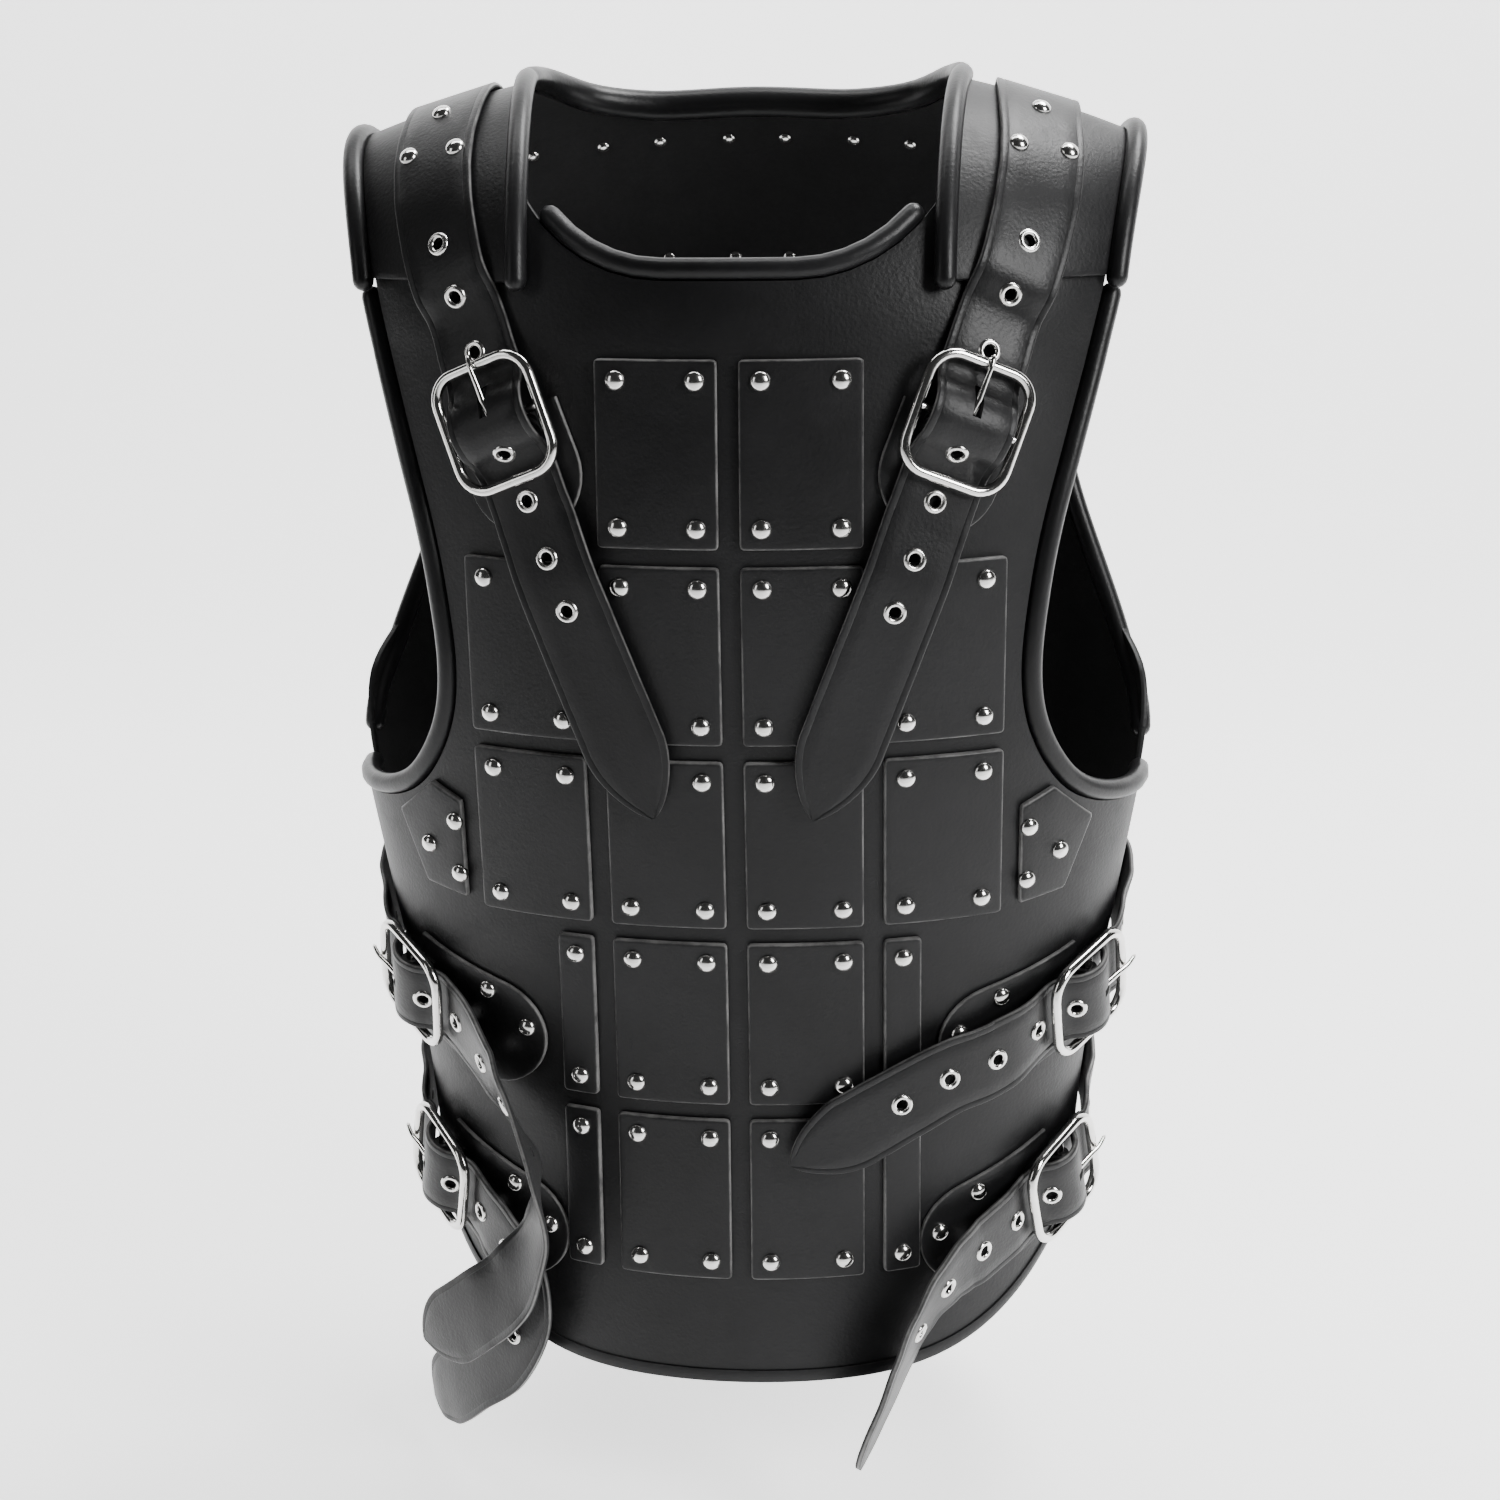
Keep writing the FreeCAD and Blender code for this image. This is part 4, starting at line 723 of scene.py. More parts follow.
# Repeated small metal, by Geometry Nodes
class Tree:
    """A Geometry Nodes tree with named inputs."""

    def __init__(self, name, sizes):
        self.tree = bpy.data.node_groups.new(name, "GeometryNodeTree")
        face = self.tree.interface
        face.new_socket("Geometry", in_out="INPUT", socket_type="NodeSocketGeometry")
        face.new_socket("Geometry", in_out="OUTPUT", socket_type="NodeSocketGeometry")
        self.names = {}
        for label, value in sizes.items():
            kind = "NodeSocketMaterial" if label == "Material" else "NodeSocketFloat"
            socket = face.new_socket(label, in_out="INPUT", socket_type=kind)
            self.names[label] = (socket.identifier, value)
        self.start = self.tree.nodes.new("NodeGroupInput")
        self.end = self.tree.nodes.new("NodeGroupOutput")

    def node(self, kind, settings=(), values=()):
        made = self.tree.nodes.new(kind)
        for key, value in dict(settings).items():
            setattr(made, key, value)
        for key, value in dict(values).items():
            if isinstance(value, bpy.types.NodeSocket):
                self.tree.links.new(value, made.inputs[key])
            else:
                made.inputs[key].default_value = value
        return made

    def size(self, label):
        return self.start.outputs[label]

    def maths(self, operation, a, b):
        return self.node("ShaderNodeMath", {"operation": operation}, {0: a, 1: b}).outputs[0]

    def flattened(self, shape, share):
        """The shape pressed flat to a share of its height."""
        squeeze = self.node("ShaderNodeCombineXYZ", {}, {0: 1.0, 1: 1.0, 2: share})
        pressed = self.node("GeometryNodeTransform", {}, {"Geometry": shape, "Scale": squeeze.outputs[0]})
        return pressed.outputs[0]

    def finish(self, shape):
        """Sets shape on each point of the input, facing the way that the point names."""
        way = self.node("GeometryNodeInputNamedAttribute", {"data_type": "FLOAT_VECTOR"}, {"Name": "facing"})
        turned = self.node("FunctionNodeAlignRotationToVector", {"axis": "Z"}, {"Vector": way.outputs[0]})
        spread = self.node("GeometryNodeInstanceOnPoints", {}, {
            "Points": self.start.outputs["Geometry"], "Instance": shape, "Rotation": turned.outputs[0]})
        real = self.node("GeometryNodeRealizeInstances", {}, {0: spread.outputs[0]})
        coat = self.node("GeometryNodeSetMaterial", {}, {"Geometry": real.outputs[0],
                                                         "Material": self.size("Material")})
        self.tree.links.new(coat.outputs[0], self.end.inputs[0])

    def fill(self, name, places):
        """A plain mesh with the tree's shape at places, which are pairs of a point and a direction."""
        mesh = bpy.data.meshes.new(name)
        mesh.from_pydata([tuple(p) for p, way in places], [], [])
        facing = mesh.attributes.new("facing", "FLOAT_VECTOR", "POINT")
        facing.data.foreach_set("vector", [c for p, way in places for c in way])
        item = bpy.data.objects.new(name, mesh)
        bpy.context.scene.collection.objects.link(item)
        change = item.modifiers.new(name, "NODES")
        change.node_group = self.tree
        for identifier, value in self.names.values():
            change[identifier] = value
        settle(item)
        smooth_shade(item, METAL_SHARP)
        return item


def rivet_tree(name, radius, dome, material):
    """A domed head, whole below, where it sinks into the leather."""
    tree = Tree(name, {"Radius": radius, "Dome": dome, "Material": material})
    radius = tree.size("Radius")
    ball = tree.node("GeometryNodeMeshUVSphere", {}, {"Segments": 18, "Rings": 10, "Radius": radius})
    tree.finish(tree.flattened(ball.outputs[0], tree.maths("DIVIDE", tree.size("Dome"), radius)))
    return tree


def eyelet_tree(name, radius, bore, rim, material):
    """A rolled ring, pressed flat."""
    tree = Tree(name, {"Radius": radius, "Bore": bore, "Rim": rim, "Material": material})
    outer, inner = tree.size("Radius"), tree.size("Bore")
    middle = tree.maths("MULTIPLY", tree.maths("ADD", outer, inner), 0.5)
    half = tree.maths("MULTIPLY", tree.maths("SUBTRACT", outer, inner), 0.5)
    circle, bead = [
        tree.node("GeometryNodeCurvePrimitiveCircle", {}, {"Resolution": steps, "Radius": radius}).outputs[0]
        for steps, radius in ((20, middle), (8, half))]
    ring = tree.node("GeometryNodeCurveToMesh", {}, {"Curve": circle, "Profile Curve": bead})
    tree.finish(tree.flattened(ring.outputs[0], tree.maths("DIVIDE", tree.size("Rim"), half)))
    return tree


# Shells
ARMHOLE_SHARES = ((1.08, 0.452), (0.93, 0.459), (0.84, 0.470), (0.775, 0.486), (0.715, 0.515), (0.675, 0.550),
                  (0.662, 0.590), (0.678, 0.650), (0.705, 0.700), (0.748, 0.755), (0.812, 0.835),
                  (0.855, 0.900), (0.870, 1.010))
NECK_SHARES = ((0.97, 0.35), (0.82, 0.72), (0.50, 0.95))


def armhole_points(form, side, count=70):
    half = form.widths[3]
    points = [Vector((x * half * side, 0, z * form.ridge)) for x, z in ARMHOLE_SHARES]
    return spline(points, count)


def neck_front_points(form):
    """The front neck's edge: side, round corner, flat, round corner, side."""
    body = form.body
    half, flat, low = body.neck_half_width, body.neck_flat_half, body.neck_height
    bend = half - flat
    corner = [Vector((flat + bend * math.cos(a * DEGREE), 0, low + bend - bend * math.sin(a * DEGREE)))
              for a in range(0, 91, 9)]
    return corner + [Vector((-p.x, 0, p.z)) for p in reversed(corner)]


def neck_back_points(form, count=41):
    body = form.body
    half, reach = body.neck_half_width, body.neck_back_reach
    points = [Vector((half, 0, 0))] + [Vector((half * a, reach * b, 0)) for a, b in NECK_SHARES]
    points = points + [Vector((0, reach, 0))] + [Vector((-p.x, p.y, 0)) for p in reversed(points)]
    return spline(points, count)


def mark_flesh(item, form):
    """Marks the inner face of a shell."""
    values = []
    for vertex in item.data.vertices:
        core = Vector((0, 0, min(vertex.co.z, form.top)))
        values.append(1.0 if vertex.normal.dot(vertex.co - core) < 0 else 0.0)
    mark(item, "flesh", values)


def dome_share(form, b, first, last, low_share=0.55):
    edge = math.copysign(form.quarter, first)
    if b < low_share:
        return first + (edge - first) * b / low_share
    return edge + (last - edge) * (b - low_share) / (1 - low_share)


def shell_sheet(name, place, along):
    """A shell's leather with a rounded rim."""
    shell = sheet(name, place, even(SHELL_ACROSS), even(along))
    change = shell.modifiers.new("rim", "BEVEL")
    change.width, change.segments = SHELL_BEVEL, 2
    change.limit_method, change.angle_limit = "ANGLE", RIM_SHARP
    return settle(shell)


def dress_shell(shell, cutters, form, name):
    """Cuts a shell's openings, marks its inner face and gives it its leather."""
    carve(shell, cutters)
    smooth_shade(shell)
    mark_flesh(shell, form)
    return dress(shell, "shell leather", "root", "shell_leather", name)


def make_front_shell(form):
    body = form.body

    def place(i, j, top):
        turn = body.front_edge * (2 * i - 1)
        run = dome_share(form, j, form.hem_run - form.hem_height(turn), body.front_top, 0.68)
        return form.on(turn, run, form.wall * top)
    shell = shell_sheet("front_shell", place, FRONT_ALONG)
    deep = Vector((0, CUT_DEEP, 0))
    cutters = []
    for name, side in SIDES:
        line = armhole_points(form, side)
        outline = line + [Vector((CUT_FAR * side, 0, line[end].z)) for end in (-1, 0)]
        cutters.append(prism("armhole_" + name, [p - deep for p in outline], deep))
    neck = neck_front_points(form)
    tall = form.ridge + CUT_OVER
    outline = [Vector((neck[0].x, 0, tall))] + neck + [Vector((neck[-1].x, 0, tall))]
    cutters.append(prism("neck", [p - deep for p in outline], deep))
    return dress_shell(shell, cutters, form, "front_shell")


def make_back_shell(form):
    body = form.body

    def place(i, j, top):
        turn = form.back_edge(dome_share(form, j, -form.hem_run, body.flap_reach)) * (2 * i - 1)
        run = dome_share(form, j, form.hem_height(turn) - form.hem_run, body.flap_reach)
        return form.on(turn, run, form.flap_lift(run) + form.wall * top)
    shell = shell_sheet("back_shell", place, BACK_ALONG)
    front = form.neck_x(-CUT_DEEP)
    outline = [Vector((front, -CUT_DEEP, 0))] + neck_back_points(form) + [Vector((-front, -CUT_DEEP, 0))]
    tall = Vector((0, 0, form.ridge + CUT_OVER - NECK_CUT_LOW))
    cutter = prism("neck", [p + Vector((0, 0, NECK_CUT_LOW)) for p in outline], tall)
    return dress_shell(shell, [cutter], form, "back_shell")


def edge_places(form, places, away, radius, lift, sink):
    """Centres of a roll beside the edge through places, and the way outwards at each."""
    points = [form.on(turn, run, lift(k)) for k, (turn, run) in enumerate(places)]
    outs = [form.normal(turn, run) for turn, run in places]
    centres = []
    for k, (point, ahead) in enumerate(zip(points, directions(points))):
        off = outs[k].cross(ahead).normalized() * away
        centres.append(point + off * (radius(k) * sink))
    return centres, outs


def dress_roll(form, name, places, away, thick, lift, sink=ROLL_SINK):
    """A roll beside the edge through places, which are turns and runs."""
    centres, outs = edge_places(form, places, away, thick, lift, sink)
    roll = roll_along(name, centres, outs, [thick(k) for k in range(len(centres))])
    dress(roll, "roll leather", "root", "edge_leather", name)


def front_places(form, line):
    """The turns and runs of points seen from the front."""
    runs = [form.run_at(p.x, p.z) for p in line]
    return [(form.turn_at(p.x, run), run) for p, run in zip(line, runs)]


def make_rolls(form):
    body, goods = form.body, form.goods
    radius = goods.roll_radius

    def thin(k):
        return radius

    def on_shell(k):
        return form.wall / 2
    edge_x = form.widths[3] * math.sin(body.front_edge)
    top = body.neck_height - radius * 2
    for name, side in SIDES:
        line = [p for p in armhole_points(form, side, 160) if abs(p.x) < edge_x and p.z < top]
        places = front_places(form, resample(line, ARMHOLE_STEPS))
        dress_roll(form, "armhole_roll_" + name, places, -side, thin, on_shell)
    line = [p for p in neck_front_points(form) if abs(p.x) < body.flap_tip_inner - radius * 2.4]
    dress_roll(form, "neck_roll", front_places(form, resample(line, NECK_STEPS)), -1, thin, on_shell)
    low, high = form.EDGE_RUNS[2] * form.hem_run, body.flap_reach
    for name, side in SIDES:
        runs = [high + (low - high) * k / FLAP_STEPS for k in range(FLAP_STEPS + 1)]
        places = [(form.back_edge(run) * side, run) for run in runs]
        dress_roll(form, "flap_roll_" + name, places, -side, thin,
                   lambda k: form.roll_lift(places[k][1], radius))
    reach = body.flap_reach
    front_y = form.skin(form.turn_at(body.flap_tip_inner, reach), reach).y
    depths = [front_y * (1 - k / COLLAR_SIDE_STEPS) for k in range(COLLAR_SIDE_STEPS)]
    side_line = [Vector((form.neck_x(y), y, 0)) for y in depths]
    line = side_line + neck_back_points(form) + [Vector((-p.x, p.y, 0)) for p in reversed(side_line)]
    line = resample(line, COLLAR_STEPS)
    runs = [form.run_at_depth(p.x, p.y) for p in line]
    places = [(form.turn_at(p.x, run), run) for p, run in zip(line, runs)]

    def thick(k):
        u = max(0.0, min(1.0, line[k].y / body.neck_back_reach))
        return radius + (goods.collar_radius - radius) * u
    dress_roll(form, "collar_roll", places, 1, thick,
               lambda k: form.roll_lift(places[k][1], thick(k)), 1.0)


# Shares of the band's height and of its thickness, and how rubbed its two rims are; the rubbed rims take the
# edge colour, which is partly wear and partly painted highlight
HEM_PROFILE = ((0.0, 0.0), (0.06, 0.7), (0.3, 1.0), (0.7, 1.0), (0.94, 0.7), (1.0, 0.0))
HEM_RIM_WEAR_AND_HIGHLIGHT = 0.35


def make_hem_bands(form):
    """The creased band along each hem."""
    body, goods = form.body, form.goods
    for name, edge, way in (("front_hem_band", body.front_edge, 1), ("back_hem_band", body.back_edge, -1)):
        rings = []
        for k in range(HEM_STEPS + 1):
            turn = edge * (2 * k / HEM_STEPS - 1)
            base = form.hem_run - form.hem_height(turn)
            rings.append([form.on(turn, way * (base - goods.binding_height * a),
                                  form.wall + goods.binding_wall * b) for a, b in HEM_PROFILE])
        band = rings_mesh(name, rings)
        corners = len(HEM_PROFILE)
        mark(band, "rim", [HEM_RIM_WEAR_AND_HIGHLIGHT if i % corners in (1, 4) else 0.0
                           for i in range(len(band.data.vertices))])
        dress(band, "roll leather", "root", "edge_leather", name.replace("band", "binding"))


# Plates
def rim_steps(width, bevel, middle):
    """Shares across a plate, close together at its two rims."""
    edge = [bevel * s / width for s in (0.0, 0.12, 0.35, 0.65, 1.0, 2.2)]
    inner = [edge[-1] + (1 - 2 * edge[-1]) * k / middle for k in range(1, middle)]
    return edge + inner + [1 - e for e in reversed(edge)]


def plate_piece(form, name, x_low, x_high, run_low, run_high, floor):
    """One plate on the skin, with rounded corners and a rounded, rubbed rim, marked for the edge colour of
    wear and painted highlight.
    """
    goods = form.goods
    wide, tall = abs(x_high - x_low), abs(run_high - run_low)
    corner, bevel, thick = goods.plate_corner, goods.plate_bevel, goods.plate_wall

    def inside(i, j):
        """Place in the plate with rounded corners, and the distance to its rim."""
        x, y = (i - 0.5) * wide, (j - 0.5) * tall
        cx, cy = abs(x) - (wide / 2 - corner), abs(y) - (tall / 2 - corner)
        if cx > 0 and cy > 0:
            away = math.hypot(cx, cy)
            reach = max(cx, cy)
            cx, cy = cx / away * reach, cy / away * reach
            x = math.copysign(wide / 2 - corner + cx, x)
            y = math.copysign(tall / 2 - corner + cy, y)
            return x, y, corner - reach
        return x, y, min(wide / 2 - abs(x), tall / 2 - abs(y))

    def place(i, j, top):
        x, y, rim = inside(i, j)
        drop = max(0.0, 1 - rim / bevel)
        run = run_low + (run_high - run_low) * (y / tall + 0.5)
        step = form.flap_lift(run) if run < 0 else 0.0
        worn = bevel * 0.75 * (1 - math.sqrt(max(0.0, 1 - drop * drop)))
        up = floor + step + (thick - worn if top else 0.0)
        return form.on(form.turn_at(x_low + (x_high - x_low) * (x / wide + 0.5), run), run, up)
    across, along = rim_steps(wide, bevel, PLATE_ACROSS), rim_steps(tall, bevel, PLATE_ALONG)
    plate = sheet(name, place, across, along)
    values = []
    for top in (0, 1):
        for i in across:
            for j in along:
                rim = inside(i, j)[2]
                values.append(max(0.0, 1 - rim / (bevel * 1.05)) if top else 1.0)
    mark(plate, "rim", values)
    return plate


def row_runs(form, row, way):
    goods = form.goods
    high = form.hem_run - goods.lowest_plate - row * (goods.plate_height + goods.row_gap)
    return way * (high - goods.plate_height), way * high


def columns(form, row, way):
    goods = form.goods
    margin, pitch = goods.rivet_margin, goods.plate_width + goods.column_gap
    first = goods.column_gap / 2
    out = []
    for side in (-1, 1):
        spans = [(first, first + goods.plate_width)]
        if row < 2:
            spans.append((first + pitch, first + pitch + goods.strip_width))
        elif row < 4 or way < 0:
            spans.append((first + pitch, first + pitch + goods.plate_width))
        for low, high in spans:
            wide = high - low > margin * 2
            rivets = [low + margin, high - margin] if wide else [(low + high) / 2]
            out.append(((side * low, side * high), [side * x for x in rivets]))
    return out


def row_of_plates(form, name, way, row):
    run_low, run_high = row_runs(form, row, way)
    return [plate_piece(form, "%s_%d" % (name, k), span[0], span[1], run_low, run_high, form.plate_floor)
            for k, (span, xs) in enumerate(columns(form, row, way))]


UNDERARM_SHARES = ((0.655, 0.397), (0.655, 0.480), (0.73, 0.492), (0.825, 0.460), (0.76, 0.402))
UNDERARM_RIVET_SHARES = ((0.672, 0.462), (0.668, 0.417), (0.745, 0.437))


def underarm_plate(form, side):
    """The five-sided plate below an armhole, in rings from its rim to its middle."""
    half, bevel = form.widths[3], form.goods.plate_bevel
    corners = [Vector((x * half * side, z * form.ridge)) for x, z in UNDERARM_SHARES]
    outline = []
    for a, b in zip(corners, corners[1:] + corners[:1]):
        outline += [a.lerp(b, t) for t in (0.03, 0.1, 0.25, 0.4, 0.55, 0.7, 0.85, 0.97)]
    middle = sum(corners, Vector((0, 0))) / len(corners)
    reach = min((c - middle).length for c in corners) * 0.8
    rings, rims = [], []
    floor, thick = form.plate_floor, form.goods.plate_wall
    for inset, up in ((0.0, 0.0), (0.0, thick - bevel * 0.75), (bevel * 0.15, thick - bevel * 0.4),
                      (bevel * 0.5, thick - bevel * 0.1), (bevel, thick), (reach * 0.5, thick),
                      (reach * 0.95, thick)):
        ring = []
        for p in outline:
            q = p.lerp(middle, min(0.98, inset / reach))
            run = form.run_at(abs(q.x), q.y)
            ring.append(form.on(form.turn_at(q.x, run), run, floor + up))
        rings.append(ring)
        rims += [1.0 if inset < bevel * 0.2 else (0.5 if inset < bevel else 0.0)] * len(ring)
    plate = rings_mesh("underarm", rings)
    mark(plate, "rim", rims)
    return plate


def make_plates(form):
    for row in range(ROWS):
        label = "front_plates_row_%d" % (ROWS - row)
        plates = join(label, row_of_plates(form, label, 1, row))
        dress(plates, "plate leather", "root", "plate_leather", label)
    for row, label in ((4, "upper"), (2, "middle"), (0, "lower")):
        label = "back_plates_" + label
        pieces = row_of_plates(form, label, -1, row) + row_of_plates(form, label + "_b", -1, row + 1)
        dress(join(label, pieces), "plate leather", "root", "plate_leather", label)
    pair = join("underarm_plates", [underarm_plate(form, side) for name, side in SIDES])
    dress(pair, "plate leather", "root", "plate_leather", "underarm_plates")


def plate_rivets(form, way, rows):
    """Places of the plates' rivets as turn and run."""
    places = []
    margin = form.goods.rivet_margin * way
    for row in rows:
        low, high = row_runs(form, row, way)
        for span, xs in columns(form, row, way):
            for x in xs:
                for run in (low + margin, high - margin):
                    places.append((form.turn_at(x, run), run))
    return places


def head(form, turn, run, low):
    """A rivet's foot on leather whose top lies at low, and its direction."""
    step = form.flap_lift(run) if run < 0 else 0.0
    return form.on(turn, run, low + step), form.normal(turn, run)


# The rivets' backs as shares of their heads, and the turns of the side straps' rivets
BURR_RADIUS_SHARE, BURR_DOME_SHARE, SIDE_RIVET_TURNS = 0.72, 0.42, (120, 113)
# Run and share of the strap's half width of each rivet of a shoulder strap
SHOULDER_RIVETS = ((0.038, 0.0), (0.070, -0.55), (0.070, 0.55))
CHAPE_RIVET_SHARES = {"shoulder": (), "side": ((0.74, -0.56), (0.36, -0.86))}


def make_rivets(form):
    goods, straps = form.goods, form.straps
    metal = finishes(bpy.context.scene)["nickel rivets"]
    tree = rivet_tree("Rivet heads", goods.rivet_radius, goods.rivet_dome, metal)
    burr = rivet_tree("Rivet backs", goods.rivet_radius * BURR_RADIUS_SHARE,
                      goods.rivet_dome * BURR_DOME_SHARE, metal)
    front = plate_rivets(form, 1, range(ROWS))
    for name, side in SIDES:
        for x, z in UNDERARM_RIVET_SHARES:
            run = form.run_at(x * form.widths[3], z * form.ridge)
            front.append((form.turn_at(x * form.widths[3], run) * side, run))
    back = plate_rivets(form, -1, range(ROWS + 1))
    for label, places in (("front_rivets", front), ("back_rivets", back)):
        heads = tree.fill(label, [head(form, t, r, form.plate_top) for t, r in places])
        dress(heads, "nickel rivets", "root", "rivet_nickel", label)
        inner = burr.fill(label.replace("rivets", "rivet_backs"),
                          [(head(form, t, r, 0.0)[0], -form.normal(t, r)) for t, r in places])
        dress(inner, "nickel rivets", "root", "rivet_nickel")
    places = []
    for name, seat in form.seats().items():
        kind = "shoulder" if "shoulder" in name else "side"
        reach = straps.shoulder_chape if kind == "shoulder" else straps.side_chape
        flip = 1 if name.startswith("left") else -1
        for x, d in CHAPE_RIVET_SHARES[kind]:
            turn, run = seat.below(x * straps.chape_width / 2 * flip, d * reach)
            places.append(head(form, turn, run, form.chape_top))
    on_flap = form.flap_lift(0) + form.wall + form.gap * 2 + straps.strap_wall
    for name, side in SIDES:
        for run, across in SHOULDER_RIVETS:
            turn = form.turn_at(straps.top_x + across * straps.strap_width / 2, run) * side
            places.append(head(form, turn, run, on_flap))
        for height in (straps.upper_bar, straps.lower_bar):
            for degrees in SIDE_RIVET_TURNS:
                run = form.hem_run - height - straps.side_rise
                low = form.wall + form.gap * 2 + straps.strap_wall
                places.append(head(form, degrees * DEGREE * side, run, low))
    dress(tree.fill("strap_rivets", places), "nickel rivets", "root", "rivet_nickel", "strap_rivets")


# Straps with their tails
PROFILE_SHARES = ((1.15, 0.0), (0.84, 0.02), (0.58, 0.28), (0.34, 0.78), (0.0, 1.0),
                  (-0.34, 0.78), (-0.58, 0.28), (-0.84, 0.02))
TAIL_SHARES = {
    "left_upper": ((42, 0.258, 0.50, 24), (37.5, 0.240, 0.66, 40), (31, 0.198, 0.88, 62),
                   (30.5, 0.138, 0.98, 46), (36.5, 0.086, 0.97, 22), (43.5, 0.055, 0.95, 8),
                   (50, 0.030, 0.93, 0), (55.5, 0.012, 0.93, -5), (60, -0.002, 0.93, -8)),
    "left_lower": ((44.5, 0.104, 0.40, 8), (40, 0.086, 0.42, 12), (39.5, 0.050, 0.40, 12),
                   (46, -0.002, 0.40, 6), (56, -0.040, 0.42, 4), (62, -0.062, 0.45, 0),
                   (68, -0.080, 0.48, -5), (72, -0.093, 0.50, -5), (76, -0.103, 0.50, -5)),
    "right_upper": ((43, 0.272, 0.35, 0), (39, 0.267, 0.36, 0), (34, 0.262, 0.36, 0), (26, 0.245, 0.36, 0),
                    (20, 0.230, 0.36, 0), (15.5, 0.218, 0.36, 0), (12, 0.209, 0.36, 0), (9.5, 0.202, 0.36, 0),
                    (8, 0.198, 0.36, 0)),
    "right_lower": ((42, 0.106, 0.42, 10), (38, 0.100, 0.50, 19), (34, 0.088, 0.58, 30.4),
                    (29.5, 0.062, 0.64, 44), (26.5, 0.032, 0.66, 52), (24, 0.0, 0.66, 56),
                    (21.5, -0.030, 0.64, 57.6), (20, -0.050, 0.62, 57.6), (19, -0.064, 0.60, 57.6)),
}


def skin_stations(form, places):
    """Strap stations lying on the skin: middle, across and outwards."""
    points = [form.on(*place) for place in places]
    outs = [form.normal(turn, run) for turn, run, lift in places]
    return [(p, ahead.cross(out), out) for p, ahead, out in zip(points, directions(points), outs)]


def buckle_stations(form, seat):
    points = [seat.place(0, d * form.side_reach, form.under_wire + (form.over_bar - form.under_wire) * up)
              for d, up in PROFILE_SHARES]
    past = (0.0, form.straps.strap_wall * 2)
    points += [seat.place(0, -form.exit_reach - d, form.under_wire) for d in past]
    return [(p, seat.across, seat.out) for p in points]


def tail_stations(form, name, side):
    """Stations of a side strap's hanging end."""
    width = form.straps.strap_width
    points, outs, twists = [], [], []
    for degrees, up, lift, twist in TAIL_SHARES[name]:
        turn, run = degrees * DEGREE * side, form.hem_run - max(up, 0) * form.ridge
        points.append(form.on(turn, run, lift * width) + Vector((0, 0, min(up, 0) * form.ridge)))
        outs.append(form.normal(turn, run))
        twists.append(twist * DEGREE * side)
    stations = []
    for point, ahead, out, twist in zip(points, directions(points), outs, twists):
        across = ahead.cross(out).normalized()
        face = across.cross(ahead)
        if face.dot(out) < 0:
            face, across = -face, -across
        turned = across * math.cos(twist) + face * math.sin(twist)
        stations.append((point, turned, face * math.cos(twist) - across * math.sin(twist)))
    return stations


def matched(stations):
    """Turns the across directions of stations the same way."""
    out = [stations[0]]
    for p, side, face in stations[1:]:
        side = side.normalized()
        out.append((p, side if side.dot(out[-1][1]) > 0 else -side, face))
    return out


CREASE_INSET, CREASE_HALF_WIDTH, CREASE_DEPTH = 0.0034, 0.0006, 0.00022
# The slot and the prong's place in it, as shares of the frame's reach
SLOT_LOW, SLOT_HIGH, PRONG_SHARE = 0.12, 0.62, 0.42
SIDE_STRAP_TURN, SIDE_STRAP_LEAD_TURN, SIDE_STRAP_RISE_TURN, OVERLAP_TURN = 124, 19, 34, 92
FLAP_STRETCHES, SIDE_STRETCHES, TAIL_STRETCHES = 7, 5, 6
# How far before the bar a shoulder strap leaves the shell, as a share of the frame's reach
LEAD_SHARE, LEAVE_WEIGHT, NEAR_WEIGHT = 1.35, 1.4, 1.6
SHOULDER_TIP_SHARE, SIDE_TIP_LENGTH, EYELET_RIM = 0.72 * 1.25, 0.034, 0.0011
# Places of the eyelets in steps of their pitch from the prong, and how many of them don't move
SHOULDER_EYELETS, SHOULDER_FIXED = (-3, -2, -1, 1, 2, 3, 4), 4
SIDE_EYELETS, SIDE_FIXED = (-1.6, 1, 2, 3, 4, 5), 2


def strap_section(half, thick):
    """Half widths and lifts round a strap: rounded edges and a crease along each side of its face."""
    edge = min(thick * 0.32, half * 0.4)
    crease, wide, deep = min(CREASE_INSET, half * 0.5), CREASE_HALF_WIDTH, CREASE_DEPTH
    high = thick / 2
    top = [(half, 0.0), (half - edge * 0.12, high - edge * 0.45), (half - edge * 0.5, high - edge * 0.1),
           (half - edge, high), (half - crease + wide, high), (half - crease, high - deep),
           (half - crease - wide, high), (half * 0.5, high)]
    upper = top + [(-x, z) for x, z in reversed(top)]
    lower = [(half - edge * 0.12, -high + edge * 0.45), (half - edge, -high), (half * 0.5, -high)]
    return upper + [(-x, z) for x, z in lower] + [(x, z) for x, z in reversed(lower)]


